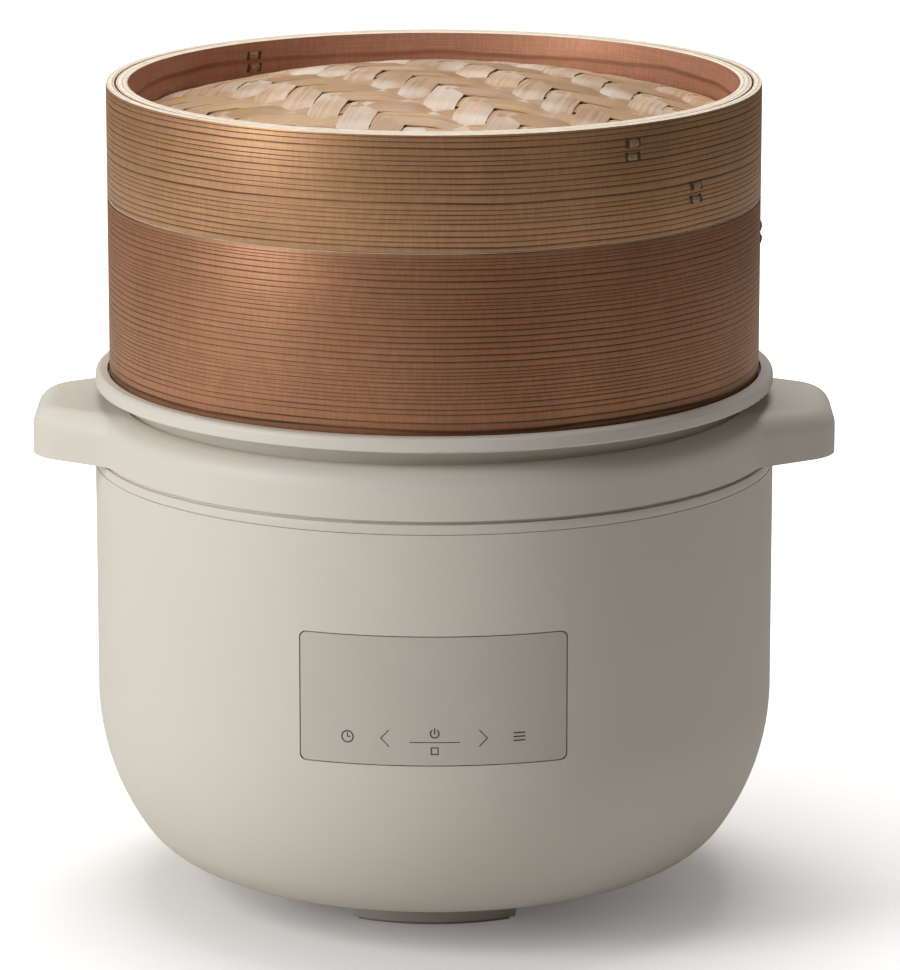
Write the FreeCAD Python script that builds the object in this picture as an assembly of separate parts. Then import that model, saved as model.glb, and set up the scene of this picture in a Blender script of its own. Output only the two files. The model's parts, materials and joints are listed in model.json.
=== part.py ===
import FreeCAD, Part
import math
import os

# Electric food steamer: a low round base with a pot, a steam ring, one wooden basket and its lid.
# Millimetres, +Z up, the origin on the ground under the middle, the control panel towards -Y.

Vector = FreeCAD.Vector
ORIGIN = Vector(0, 0, 0)
UP = Vector(0, 0, 1)

# Driving dimensions: pot and the round housing about it
POT_RADIUS = 90.0
POT_WALL = 1.5
POT_DEPTH = 106.7
POT_CORNER = 14.0
JACKET = 26.0
BODY_WALL = 2.6
FOOT_HEIGHT = 12.5
BODY_HEIGHT = 138.5
BELLY_CORNER_WIDTH = 40.0
BELLY_CORNER_HEIGHT = 60.0
BELLY_LOW_ROUNDING = 31.0
COVER_SET_IN = 9.6
TRIM_HEIGHT = 4.6
COLLAR_HEIGHT = 16.9
COLLAR_ROUNDING = 7.5
LEDGE_DEPTH = 9.5
LEDGE_THICKNESS = 2.4
COLLAR_RIM = 9.5
POT_AIR = 4.8
LINER_SHEET = 1.2
LINER_BEVEL = 4.0

# Driving dimensions: grips on the collar
GRIP_REACH = 20.5
GRIP_ROOT_HALF = 35.0
GRIP_TIP_HALF = 22.0
GRIP_CORNER = 18.0
GRIP_ROOT_FILLET = 9.0

# Driving dimensions: steam ring, basket and lid
BASKET_SET_IN = 5.2
RING_NECK = 4.0
RING_NECK_HEIGHT = 11.1
RING_PLATE = 1.9
RING_LIP_HEIGHT = 3.0
RING_LIP = 4.1
GASKET_HEIGHT = 2.1
GROOVE_HALF = 1.0
GROOVE_DEPTH = 2.2
STEAM_SKIRT = 7.0
STEAM_SKIRT_WALL = 2.0
STEAM_OPENING = 92.0
OUTER_STRIP = 3.0
INNER_STRIP = 4.2
WOOD_BEVEL = 0.5
BASKET_HEIGHT = 62.5
BASKET_SPIGOT = 8.0
LID_HEIGHT = 38.5
MAT_THICKNESS = 2.4
MAT_EDGE_DROP = 12.5
MAT_RISE = 15.0
SLAT_WIDTH = 10.0
SLAT_GAP = 2.6
SLAT_THICKNESS = 2.2
BATTEN_WIDTH = 9.0
BATTEN_THICKNESS = 4.5
HOLDING_STRIP = 3.6
HOLDING_STRIP_HEIGHT = 6.0
STITCH_HALF = 5.0
STRAP_HALF_WIDTH = 1.1
STRAP_HALF_HEIGHT = 0.7
STRAP_NEAR = 0.15
STRAP_FAR = 0.9
STITCH_EASE = 0.25

# Driving dimensions: control panel, inlet, heater and boards
PANEL_WIDTH = 87.0
PANEL_HEIGHT = 43.2
PANEL_ABOVE_BELLY = 61.2
PANEL_THICKNESS = 1.8
PANEL_CORNER = 2.2
PLATE_THICKNESS = 7.8
PLATE_FOOT = 8.6
PLATE_SET_IN = 2.0
ELEMENT_SET_IN = 22.0
ELEMENT_DROP = 4.0
ELEMENT_LEG = 7.0
ELEMENT_TUBE = 3.6
SENSOR_CAP = 15.5
SENSOR_STEM = 3.6
HOLDER_COLLAR = 6.5
SPRING_COILS = 4
SPRING_WIRE = 0.7
SPRING_RADIUS = 9.5
BOARD_LENGTH = 64.0
BOARD_WIDTH = 38.0
BOARD_THICKNESS = 1.6
INLET_WIDTH = 28.0
INLET_HEIGHT = 20.5
INLET_ABOVE_BELLY = 72.0
PAD_THICKNESS = 2.4
PAD_PROUD = 1.0
FOOT_SET_IN = 8.4
FOOT_WIDTH = 9.5
FOOT_HALF_ANGLE = 31.0
FOOT_TAPER = 2.0
PAD_RIM = 1.1

# Clearances
SEAT_GAP = 0.2
SIDE_GAP = 0.35
SEAM_GAP = 0.15
HOLE_GAP = 0.1
POT_PLAY = 2.0
NECK_PLAY = 1.0
LIP_PLAY = 0.8
POST_PLAY = 1.35
SCREW_HOLE = 1.7
SCREW_PILOT = 1.6

# Radii that follow
BODY_RADIUS = POT_RADIUS + JACKET
BODY_INNER = BODY_RADIUS - BODY_WALL
BELLY_FLAT = BODY_RADIUS - BELLY_CORNER_WIDTH
BELLY_HIGH_ROUNDING = ((BELLY_CORNER_WIDTH ** 2 + (BELLY_CORNER_HEIGHT - BELLY_LOW_ROUNDING) ** 2
                        - BELLY_LOW_ROUNDING ** 2) / (2 * (BELLY_CORNER_WIDTH - BELLY_LOW_ROUNDING)))
COVER_OPENING = BELLY_FLAT - COVER_SET_IN
COVER_SCREW_CIRCLE = COVER_OPENING - 3.2
FOOT_OUTER = COVER_OPENING - FOOT_SET_IN
PAD_OUTER = FOOT_OUTER - FOOT_TAPER - PAD_RIM
PAD_INNER = FOOT_OUTER - FOOT_WIDTH + FOOT_TAPER / 2 + PAD_RIM
PAD_HALF_ANGLE = FOOT_HALF_ANGLE - 3.1
COLLAR_OPENING = BODY_RADIUS - COLLAR_RIM
LEDGE_INNER = POT_RADIUS + POT_AIR
SCREW_CIRCLE = (LEDGE_INNER + COLLAR_OPENING) / 2 + 1.2
POST_RADIUS = (COLLAR_OPENING - LEDGE_INNER) / 2 - POST_PLAY
LINER_RADIUS = LEDGE_INNER - 0.6
LINER_CIRCLE = BELLY_FLAT + 8
HOT_RADIUS = POT_RADIUS - POT_CORNER - PLATE_SET_IN
ELEMENT_RADIUS = HOT_RADIUS - ELEMENT_SET_IN
SENSOR_HOLE = SENSOR_CAP + 1.5
POT_FLANGE = COLLAR_OPENING - POT_PLAY
NECK_OUTER = COLLAR_OPENING - NECK_PLAY
NECK_INNER = NECK_OUTER - RING_NECK
GROOVE = (NECK_OUTER + NECK_INNER) / 2
WOOD_RADIUS = BODY_RADIUS - BASKET_SET_IN
LIP_INNER = WOOD_RADIUS + LIP_PLAY
LIP_OUTER = LIP_INNER + RING_LIP
STRIP_JOINT = WOOD_RADIUS - OUTER_STRIP
INNER_STRIP_OUTER = STRIP_JOINT - SIDE_GAP
WOOD_INNER = INNER_STRIP_OUTER - INNER_STRIP
HOLDER_OUTER = WOOD_INNER - SIDE_GAP
HOLDER_INNER = HOLDER_OUTER - HOLDING_STRIP

# Heights that follow
BODY_TOP = FOOT_HEIGHT + BODY_HEIGHT
COLLAR_BOTTOM = BODY_TOP + TRIM_HEIGHT
COLLAR_TOP = COLLAR_BOTTOM + COLLAR_HEIGHT
LEDGE_TOP = COLLAR_TOP - LEDGE_DEPTH
LEDGE_UNDER = LEDGE_TOP - LEDGE_THICKNESS
FLANGE_TOP = LEDGE_TOP + SEAT_GAP + POT_WALL
POT_BOTTOM = FLANGE_TOP - POT_DEPTH
GASKET_BOTTOM = FLANGE_TOP + SEAT_GAP
NECK_BOTTOM = GASKET_BOTTOM + GASKET_HEIGHT
PLATE_UNDER = NECK_BOTTOM + RING_NECK_HEIGHT
RING_SEAT = PLATE_UNDER + RING_PLATE
LIP_TOP = RING_SEAT + RING_LIP_HEIGHT
BASKET_BOTTOM = RING_SEAT + SEAT_GAP
BASKET_TOP = BASKET_BOTTOM + BASKET_HEIGHT
SPIGOT_TOP = BASKET_TOP + BASKET_SPIGOT
LID_BOTTOM = BASKET_TOP + SEAT_GAP
LID_TOP = LID_BOTTOM + LID_HEIGHT
MAT_EDGE = LID_TOP - MAT_EDGE_DROP
HOLDER_TOP = BASKET_BOTTOM + HOLDING_STRIP_HEIGHT
BATTEN_BOTTOM = HOLDER_TOP + HOLE_GAP
SLAT_BOTTOM = BATTEN_BOTTOM + BATTEN_THICKNESS + HOLE_GAP
HOT_TOP = POT_BOTTOM - SEAT_GAP
HOT_UNDER = HOT_TOP - PLATE_THICKNESS
LINER_FLOOR = HOT_UNDER - PLATE_FOOT
LINER_UNDER = LINER_FLOOR - LINER_SHEET
HOLDER_SEAT = LINER_FLOOR + 1.3
ELEMENT_Z = HOT_UNDER - ELEMENT_DROP
TERMINAL_TOP = LINER_UNDER - ELEMENT_LEG
COVER_TOP = FOOT_HEIGHT + BODY_WALL - SEAT_GAP
PANEL_BOTTOM = FOOT_HEIGHT + PANEL_ABOVE_BELLY
PANEL_TOP = PANEL_BOTTOM + PANEL_HEIGHT
INLET_MIDDLE = FOOT_HEIGHT + INLET_ABOVE_BELLY

# Bearings, in degrees from the front towards the right as seen from above; stitches with share and tilt
COLLAR_SCREW_BEARINGS = (45, 135, 225, 315)
LINER_POST_BEARINGS = (0, 120, 240)
FOOT_BEARINGS = (0, 90, 180, 270)
SLEEVE_BEARINGS = (60, 180, 300)
ELEMENT_ENDS = (162, 198)
VENT_BEARINGS = range(96, 265, 14)
LID_STITCHES = ((35.6, 0.75, 8), (50.8, 0.4, 20), (218, 0.84, 12), (203, 0.4, 12))
BASKET_STITCHES = ((90, 0.72, 18), (104, 0.36, -18), (270, 0.6, 18))

# Boards, touch places and inlet
BOARD_FRONT = -(LINER_RADIUS + 4.8)
BOARD_KEEP = LINER_RADIUS + 2
BOARD_HALF = PANEL_WIDTH / 2 - 4.5
BOARD_UNDER = COVER_TOP + 6
BOARD_TOP = BOARD_UNDER + HOLE_GAP + BOARD_THICKNESS
BOARD_NEAR = -(COVER_OPENING - 14)
BOARD_POSTS = [(x, y) for x in (4 - BOARD_LENGTH / 2, BOARD_LENGTH / 2 - 4)
               for y in (BOARD_NEAR + 4, BOARD_NEAR + BOARD_WIDTH - 4)]
TOUCH_PLACES = (-28.4, -15.9, 0.4, 16.3, 28.4)
INLET_BACK = LINER_RADIUS + 5.3
INLET_PIN_PLACES = ((-7, INLET_MIDDLE - 2), (7, INLET_MIDDLE - 2), (0, INLET_MIDDLE + 2.5))


def rounded_wire(corners, place):
    """Closed wire through corners (a, b, rounding), each corner rounded by its own radius."""
    points = [Vector(a, b, 0) for a, b, rounding in corners]
    spans = []
    for index, (a, b, rounding) in enumerate(corners):
        here = points[index]
        if rounding == 0:
            spans.append((here, here, here))
            continue
        back = (points[index - 1] - here).normalize()
        ahead = (points[(index + 1) % len(points)] - here).normalize()
        half = back.getAngle(ahead) / 2
        bisector = (back + ahead).normalize()
        centre = here + bisector * (rounding / math.sin(half))
        reach = rounding / math.tan(half)
        spans.append((here + back * reach, centre - bisector * rounding, here + ahead * reach))
    edges = []
    for index, (start, middle, end) in enumerate(spans):
        if (end - start).Length > 1e-6:
            edges.append(Part.Arc(place(start), place(middle), place(end)).toShape())
        following = spans[(index + 1) % len(spans)][0]
        if (following - end).Length > 1e-6:
            edges.append(Part.LineSegment(place(end), place(following)).toShape())
    return Part.Wire(edges)


def upright(point):
    """Places a profile point as radius and height."""
    return Vector(point.x, 0, point.y)


def level(height):
    """Places a plan point at a height."""
    return lambda point: Vector(point.x, point.y, height)


def turned(corners):
    """Solid of revolution from corners (radius, height, rounding)."""
    return Part.Face(rounded_wire(corners, upright)).revolve(ORIGIN, UP, 360)


def prism(corners, bottom, top):
    """Plan outline raised from bottom to top."""
    face = Part.Face(rounded_wire(corners, level(bottom)))
    return face.extrude(Vector(0, 0, top - bottom))


def front_prism(corners, near, far):
    """Outline of (x, z, rounding) pushed from y = near to y = far."""
    face = Part.Face(rounded_wire(corners, lambda point: Vector(point.x, near, point.y)))
    return face.extrude(Vector(0, far - near, 0))


def front_rectangle(width, bottom, top, rounding, near, far):
    """Upright rectangle with rounded corners, pushed along Y."""
    half = width / 2
    corners = [(-half, bottom, rounding), (half, bottom, rounding),
               (half, top, rounding), (-half, top, rounding)]
    return front_prism(corners, near, far)


def block(x_low, x_high, y_low, y_high, z_low, z_high):
    return Part.makeBox(x_high - x_low, y_high - y_low, z_high - z_low, Vector(x_low, y_low, z_low))


def rod(radius, bottom, top, x=0.0, y=0.0):
    return Part.makeCylinder(radius, top - bottom, Vector(x, y, bottom))


def pipe(outer, inner, bottom, top, x=0.0, y=0.0):
    return rod(outer, bottom, top, x, y).cut(rod(inner, bottom - 1, top + 1, x, y))


def at_bearing(shape, bearing):
    """Turns a piece made on the +X side to its bearing from the front."""
    return shape.rotated(ORIGIN, UP, bearing - 90)


def save(name, shape):
    """Writes one sub-part, one or several solids."""
    solids = shape.Solids
    shape = solids[0] if len(solids) == 1 else Part.makeCompound(solids)
    shape.exportStep("parts/" + name + ".step")
    print(name, len(solids), "solids, volume", round(shape.Volume), "valid", shape.isValid())


# Base: the belly, its trim band and the collar with the grips

def belly_outside(inset, top):
    """Closed bulk of the belly: flat below, a corner of two tangent arcs, an upright wall."""
    corner_z = FOOT_HEIGHT + BELLY_CORNER_HEIGHT
    low_centre = Vector(BELLY_FLAT, 0, FOOT_HEIGHT + BELLY_LOW_ROUNDING)
    high_centre = Vector(BODY_RADIUS - BELLY_HIGH_ROUNDING, 0, corner_z)
    outward = Vector(1, 0, 0)
    shared = (low_centre - high_centre).normalize()
    low_radius = BELLY_LOW_ROUNDING - inset
    high_radius = BELLY_HIGH_ROUNDING - inset
    foot = low_centre - UP * low_radius
    joint = low_centre + shared * low_radius
    side = high_centre + outward * high_radius
    low_middle = low_centre + (shared - UP).normalize() * low_radius
    high_middle = high_centre + (shared + outward).normalize() * high_radius
    path = [side, Vector(side.x, 0, top), Vector(0, 0, top), Vector(0, 0, foot.z), foot]
    edges = [Part.Arc(foot, low_middle, joint).toShape(), Part.Arc(joint, high_middle, side).toShape()]
    for near, far in zip(path, path[1:]):
        edges.append(Part.LineSegment(near, far).toShape())
    return Part.Face(Part.Wire(edges)).revolve(ORIGIN, UP, 360)


def screw_posts(bulk):
    """Tall posts that take the collar's screws, each tied to the wall by a rib."""
    post_top = LEDGE_UNDER - 3.3
    post_bottom = BODY_TOP - 33.0
    posts = []
    for bearing in COLLAR_SCREW_BEARINGS:
        post = rod(POST_RADIUS, post_bottom, post_top, SCREW_CIRCLE)
        rib = block(SCREW_CIRCLE + POST_RADIUS - 1.5, BODY_RADIUS - 1, -1.2, 1.2, post_bottom, BODY_TOP - 6.0)
        post = post.fuse(rib.common(bulk)).cut(rod(SCREW_PILOT, post_top - 18, post_top + 1, SCREW_CIRCLE))
        posts.append(at_bearing(post, bearing))
    return posts


def body_shell():
    bulk = belly_outside(0, BODY_TOP)
    hollow = belly_outside(BODY_WALL, BODY_TOP + 1)
    shell = bulk.cut(hollow)
    lip = pipe(COVER_OPENING + 3, COVER_OPENING - 6, COVER_TOP, FOOT_HEIGHT + BODY_WALL + 2.4)
    shell = shell.cut(rod(COVER_OPENING, FOOT_HEIGHT - 1, FOOT_HEIGHT + BODY_WALL + SEAT_GAP))
    lip = lip.cut(rod(COVER_OPENING, COVER_TOP - 1, FOOT_HEIGHT + BODY_WALL))
    extras = [lip] + screw_posts(bulk)
    for bearing in LINER_POST_BEARINGS:
        post = rod(POST_RADIUS, FOOT_HEIGHT, LINER_UNDER - SEAT_GAP, LINER_CIRCLE).common(bulk)
        post = post.cut(rod(SCREW_PILOT - 0.2, LINER_UNDER - 14, LINER_UNDER, LINER_CIRCLE))
        extras.append(at_bearing(post, bearing))
    for bearing in COLLAR_SCREW_BEARINGS:
        boss = rod(3.6, FOOT_HEIGHT + BODY_WALL, FOOT_HEIGHT + BODY_WALL + 11, COVER_SCREW_CIRCLE)
        extras.append(at_bearing(boss, bearing))
    rail_inner = PANEL_WIDTH / 2 - 7
    rail = block(rail_inner, rail_inner + 4.5, -BODY_RADIUS, BOARD_FRONT + 3.6,
                 PANEL_BOTTOM + 0.5, PANEL_TOP - 4)
    rail = rail.common(bulk)
    extras += [rail, rail.mirror(ORIGIN, Vector(1, 0, 0))]
    inlet_pad = front_rectangle(INLET_WIDTH + 14, INLET_MIDDLE - INLET_HEIGHT / 2 - 6,
                                INLET_MIDDLE + INLET_HEIGHT / 2 + 6, 3, BODY_RADIUS - 5.5, BODY_RADIUS)
    extras.append(inlet_pad.common(bulk))
    shell = shell.multiFuse(extras)
    cuts = [front_window(PANEL_WIDTH + 2 * SIDE_GAP, PANEL_HEIGHT + 2 * SIDE_GAP, PANEL_CORNER,
                         BODY_RADIUS - PANEL_THICKNESS - SEAM_GAP)]
    cuts.append(front_rectangle(PANEL_WIDTH - 15, PANEL_BOTTOM + 6, PANEL_TOP - 6, 2,
                                -BODY_RADIUS - 1, -BODY_RADIUS * 0.8).cut(rod(BOARD_KEEP, 0, BODY_TOP)))
    slot = block(-BOARD_HALF - SIDE_GAP, BOARD_HALF + SIDE_GAP, BOARD_FRONT - HOLE_GAP,
                 BOARD_FRONT + BOARD_THICKNESS + HOLE_GAP, PANEL_BOTTOM + 2, PANEL_TOP)
    cuts.append(slot)
    cuts.append(front_rectangle(INLET_WIDTH + 0.6, INLET_MIDDLE - INLET_HEIGHT / 2 - 0.3,
                                INLET_MIDDLE + INLET_HEIGHT / 2 + 0.3, 1.8, BODY_RADIUS - 10, BODY_RADIUS + 2))
    cuts.append(front_rectangle(INLET_WIDTH + 5.6, INLET_MIDDLE - INLET_HEIGHT / 2 - 2.8,
                                INLET_MIDDLE + INLET_HEIGHT / 2 + 2.8, 2.4, BODY_RADIUS - 2, BODY_RADIUS + 2))
    for bearing in COLLAR_SCREW_BEARINGS:
        hole = rod(SCREW_PILOT, COVER_TOP - 1, FOOT_HEIGHT + BODY_WALL + 10, COVER_SCREW_CIRCLE)
        cuts.append(at_bearing(hole, bearing))
    for cut in cuts:
        shell = shell.cut(cut)
    return shell


def front_window(width, height, rounding, depth_radius):
    """Space that the control panel takes out of the curved wall."""
    bottom = PANEL_BOTTOM + (PANEL_HEIGHT - height) / 2
    window = front_rectangle(width, bottom, bottom + height, rounding, -BODY_RADIUS - 2, -BODY_RADIUS * 0.8)
    return window.cut(rod(depth_radius, bottom - 1, bottom + height + 1))


def trim_band():
    outer = BODY_RADIUS - 0.4
    tongue_outer = BODY_INNER - SIDE_GAP
    tongue_inner = tongue_outer - 2.4
    return turned([(tongue_inner, BODY_TOP - 3.5, 0), (tongue_outer, BODY_TOP - 3.5, 0),
                   (tongue_outer, BODY_TOP + SEAM_GAP, 0), (outer, BODY_TOP + SEAM_GAP, 0),
                   (outer, COLLAR_BOTTOM - SEAM_GAP, 0), (tongue_outer, COLLAR_BOTTOM - SEAM_GAP, 0),
                   (tongue_outer, COLLAR_BOTTOM + 3, 0), (tongue_inner, COLLAR_BOTTOM + 3, 0)])


def grip_prism(inset, bottom, top):
    """Both grips in plan, without the round middle."""
    tip = BODY_RADIUS + GRIP_REACH - inset
    root = BODY_RADIUS - 16
    slope = (GRIP_ROOT_HALF - GRIP_TIP_HALF) / GRIP_REACH
    side = inset * math.hypot(1, slope)
    tip_half = GRIP_TIP_HALF - side + slope * inset
    root_half = GRIP_ROOT_HALF + slope * 16 - side
    corners = [(root, -root_half, 0), (tip, -tip_half, GRIP_CORNER - inset),
               (tip, tip_half, GRIP_CORNER - inset), (root, root_half, 0)]
    right = prism(corners, bottom, top)
    return [right, right.mirror(ORIGIN, Vector(1, 0, 0))]


def edges_at_height(shape, height):
    chosen = []
    for edge in shape.Edges:
        if all(abs(vertex.Z - height) < 1e-4 for vertex in edge.Vertexes):
            if abs(edge.CenterOfMass.z - height) < 1e-4:
                chosen.append(edge)
    return chosen


def handle_collar():
    """Round collar and two hollow grips, open below, with the ledge that the pot hangs on."""
    blank = rod(BODY_RADIUS, COLLAR_BOTTOM, COLLAR_TOP)
    for grip in grip_prism(0, COLLAR_BOTTOM, COLLAR_TOP):
        blank = blank.fuse(grip)
    blank = blank.removeSplitter()
    roots = []
    for edge in blank.Edges:
        middle = edge.CenterOfMass
        upright_edge = abs(edge.Vertexes[0].Z - edge.Vertexes[-1].Z) > COLLAR_HEIGHT - 0.1
        on_body = abs(math.hypot(middle.x, middle.y) - BODY_RADIUS) < 0.05
        if upright_edge and on_body and abs(middle.y) > 5:
            roots.append(edge)
    blank = blank.makeFillet(GRIP_ROOT_FILLET, roots)
    blank = blank.makeFillet(COLLAR_ROUNDING, edges_at_height(blank, COLLAR_TOP))
    cavity_top = COLLAR_TOP - BODY_WALL
    for grip in grip_prism(BODY_WALL, COLLAR_BOTTOM - 1, cavity_top):
        grip = grip.makeFillet(COLLAR_ROUNDING - BODY_WALL, edges_at_height(grip, cavity_top))
        blank = blank.cut(grip.cut(rod(BODY_RADIUS, COLLAR_BOTTOM - 2, COLLAR_TOP)))
    wall_inner = COLLAR_OPENING + BODY_WALL
    blank = blank.cut(turned([(wall_inner, COLLAR_BOTTOM - 1, 0), (BODY_INNER, COLLAR_BOTTOM - 1, 0),
                              (BODY_INNER, cavity_top, 4.0), (wall_inner, cavity_top, 0)]))
    blank = blank.cut(turned([(0, COLLAR_BOTTOM - 1, 0), (LEDGE_INNER, COLLAR_BOTTOM - 1, 0),
                              (LEDGE_INNER, LEDGE_TOP, 0), (COLLAR_OPENING, LEDGE_TOP, 0),
                              (COLLAR_OPENING, COLLAR_TOP - 0.8, 0), (COLLAR_OPENING + 0.8, COLLAR_TOP, 0),
                              (COLLAR_OPENING + 0.8, COLLAR_TOP + 1, 0), (0, COLLAR_TOP + 1, 0)]))
    blank = blank.cut(pipe(COLLAR_OPENING, LEDGE_INNER + 2.4, COLLAR_BOTTOM - 1, LEDGE_UNDER))
    for bearing in COLLAR_SCREW_BEARINGS:
        boss = rod(POST_RADIUS + 0.4, LEDGE_UNDER - 3.1, LEDGE_UNDER + 0.5, SCREW_CIRCLE)
        blank = blank.fuse(at_bearing(boss, bearing))
    for bearing in COLLAR_SCREW_BEARINGS:
        hole = rod(SCREW_HOLE, COLLAR_BOTTOM, LEDGE_TOP + 1, SCREW_CIRCLE)
        recess = rod(3.4, LEDGE_TOP - 2.0, LEDGE_TOP + 1, SCREW_CIRCLE)
        blank = blank.cut(at_bearing(hole.fuse(recess), bearing))
    return blank


def screws(bearings, radius, head_bottom, head_top, tip, head_radius=3.0, shank_radius=1.5):
    """Pan-head screws set upright in a ring; the shank runs from the head to the tip."""
    group = []
    for bearing in bearings:
        low = min(head_bottom, tip)
        high = max(head_top, tip)
        screw = rod(head_radius, head_bottom, head_top, radius).fuse(rod(shank_radius, low, high, radius))
        group.append(at_bearing(screw, bearing))
    return Part.makeCompound(group)


# Underside: the cover with its four foot arcs and their pads

def ring_sector(inner, outer, half_angle, height):
    """Plan wire of a piece of a ring about the front direction of +X."""
    low = math.radians(-half_angle)
    high = math.radians(half_angle)

    def at(radius, angle):
        return Vector(radius * math.cos(angle), radius * math.sin(angle), height)

    return Part.Wire([Part.Arc(at(outer, low), at(outer, 0), at(outer, high)).toShape(),
                      Part.LineSegment(at(outer, high), at(inner, high)).toShape(),
                      Part.Arc(at(inner, high), at(inner, 0), at(inner, low)).toShape(),
                      Part.LineSegment(at(inner, low), at(outer, low)).toShape()])


def foot_arc():
    """One foot: a piece of a ring that narrows a little downwards, with a pocket for its pad."""
    wide = ring_sector(FOOT_OUTER - FOOT_WIDTH, FOOT_OUTER, FOOT_HALF_ANGLE, FOOT_HEIGHT + 0.5)
    narrow = ring_sector(PAD_INNER - PAD_RIM, PAD_OUTER + PAD_RIM, PAD_HALF_ANGLE + 1.5, PAD_PROUD)
    foot = Part.makeLoft([wide, narrow], True, True)
    pocket = Part.Face(ring_sector(PAD_INNER - 0.2, PAD_OUTER + 0.2, PAD_HALF_ANGLE + 0.3, PAD_PROUD - 1))
    return foot.cut(pocket.extrude(Vector(0, 0, PAD_THICKNESS - PAD_PROUD + 1.1)))


def foot_pads():
    pads = []
    for bearing in FOOT_BEARINGS:
        face = Part.Face(ring_sector(PAD_INNER, PAD_OUTER, PAD_HALF_ANGLE, 0))
        pads.append(at_bearing(face.extrude(Vector(0, 0, PAD_THICKNESS)), bearing))
    return Part.makeCompound(pads)


def bottom_cover():
    cover = rod(COVER_OPENING - SIDE_GAP, FOOT_HEIGHT, COVER_TOP)
    extras = [at_bearing(foot_arc(), bearing) for bearing in FOOT_BEARINGS]
    for x, y in BOARD_POSTS:
        extras.append(rod(3.2, COVER_TOP - 0.5, BOARD_UNDER, x, y))
    cover = cover.multiFuse(extras)
    for bearing in VENT_BEARINGS:
        slot = block(22, 42, -1.3, 1.3, FOOT_HEIGHT - 1, COVER_TOP + 1)
        cover = cover.cut(at_bearing(slot, bearing))
    for bearing in COLLAR_SCREW_BEARINGS:
        cover = cover.cut(at_bearing(rod(SCREW_HOLE, FOOT_HEIGHT - 1, COVER_TOP + 1, COVER_SCREW_CIRCLE), bearing))
    for x, y in BOARD_POSTS:
        cover = cover.cut(rod(1.1, COVER_TOP, BOARD_UNDER + 1, x, y))
    return cover


# Inside: pot, liner, heating plate, sensor, fuse and boards

def inner_pot():
    inner = POT_RADIUS - POT_WALL
    return turned([(0, POT_BOTTOM, 0), (POT_RADIUS, POT_BOTTOM, POT_CORNER),
                   (POT_RADIUS, FLANGE_TOP - POT_WALL, 0), (POT_FLANGE, FLANGE_TOP - POT_WALL, 0),
                   (POT_FLANGE, FLANGE_TOP, 0), (inner + 1.2, FLANGE_TOP, 0),
                   (inner, FLANGE_TOP - 1.2, 0),
                   (inner, POT_BOTTOM + POT_WALL, POT_CORNER - POT_WALL), (0, POT_BOTTOM + POT_WALL, 0)])


def inner_liner():
    """Sheet metal cup about the pot; it stands on the belly's posts."""
    inner = LINER_RADIUS - LINER_SHEET
    cup = turned([(SENSOR_HOLE, LINER_UNDER, 0), (LINER_RADIUS - LINER_BEVEL, LINER_UNDER, 0),
                  (LINER_RADIUS, LINER_UNDER + LINER_BEVEL, 0),
                  (LINER_RADIUS, LEDGE_UNDER - SEAT_GAP, 0), (inner, LEDGE_UNDER - SEAT_GAP, 0),
                  (inner, LINER_FLOOR + LINER_BEVEL - 0.5, 0), (inner - LINER_BEVEL + 0.5, LINER_FLOOR, 0),
                  (SENSOR_HOLE, LINER_FLOOR, 0)])
    for bearing in LINER_POST_BEARINGS:
        cup = cup.cut(at_bearing(rod(SCREW_HOLE, LINER_UNDER - 1, LINER_FLOOR + 1, LINER_CIRCLE), bearing))
    for bearing in ELEMENT_ENDS:
        cup = cup.cut(at_bearing(rod(5.0, LINER_UNDER - 1, LINER_FLOOR + 1, ELEMENT_RADIUS), bearing))
    return cup


def heating_plate():
    """Cast disc with a raised ring below that holds the heating tube."""
    plate = turned([(SENSOR_CAP + 2, HOT_UNDER, 0), (ELEMENT_RADIUS - 8, HOT_UNDER, 0),
                    (ELEMENT_RADIUS - 7, ELEMENT_Z + 0.8, 0), (ELEMENT_RADIUS + 7, ELEMENT_Z + 0.8, 0),
                    (ELEMENT_RADIUS + 8, HOT_UNDER, 0), (HOT_RADIUS, HOT_UNDER, 0),
                    (HOT_RADIUS, HOT_TOP - 1.5, 0), (HOT_RADIUS - 1.5, HOT_TOP, 0), (SENSOR_CAP + 2, HOT_TOP, 0)])
    return plate.cut(Part.makeTorus(ELEMENT_RADIUS, ELEMENT_TUBE + HOLE_GAP, Vector(0, 0, ELEMENT_Z)))


def heating_tube():
    """Sheathed element: an open ring with both ends turned down through the liner."""
    start = ELEMENT_ENDS[0] - 90
    sweep = 360 - (ELEMENT_ENDS[1] - ELEMENT_ENDS[0])
    circle = Part.Face(Part.Wire(Part.makeCircle(ELEMENT_TUBE, Vector(ELEMENT_RADIUS, 0, ELEMENT_Z),
                                                 Vector(0, 1, 0))))
    ring = circle.revolve(ORIGIN, UP, -sweep).rotated(ORIGIN, UP, start)
    pieces = [ring]
    for bearing in ELEMENT_ENDS:
        leg = rod(ELEMENT_TUBE, TERMINAL_TOP, ELEMENT_Z, ELEMENT_RADIUS)
        elbow = Part.makeSphere(ELEMENT_TUBE, Vector(ELEMENT_RADIUS, 0, ELEMENT_Z))
        pieces.append(at_bearing(leg.fuse(elbow), bearing))
    return pieces[0].multiFuse(pieces[1:])


def heater_terminals():
    """Ceramic ends and flat tabs under the liner."""
    tabs = []
    top = TERMINAL_TOP
    for bearing in ELEMENT_ENDS:
        ceramic = rod(2.8, top - 4, top, ELEMENT_RADIUS)
        tab = block(ELEMENT_RADIUS - 0.4, ELEMENT_RADIUS + 0.4, -3.15, 3.15, top - 13, top - 3.5)
        tabs.append(at_bearing(ceramic.fuse(tab), bearing))
    return Part.makeCompound(tabs)


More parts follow.
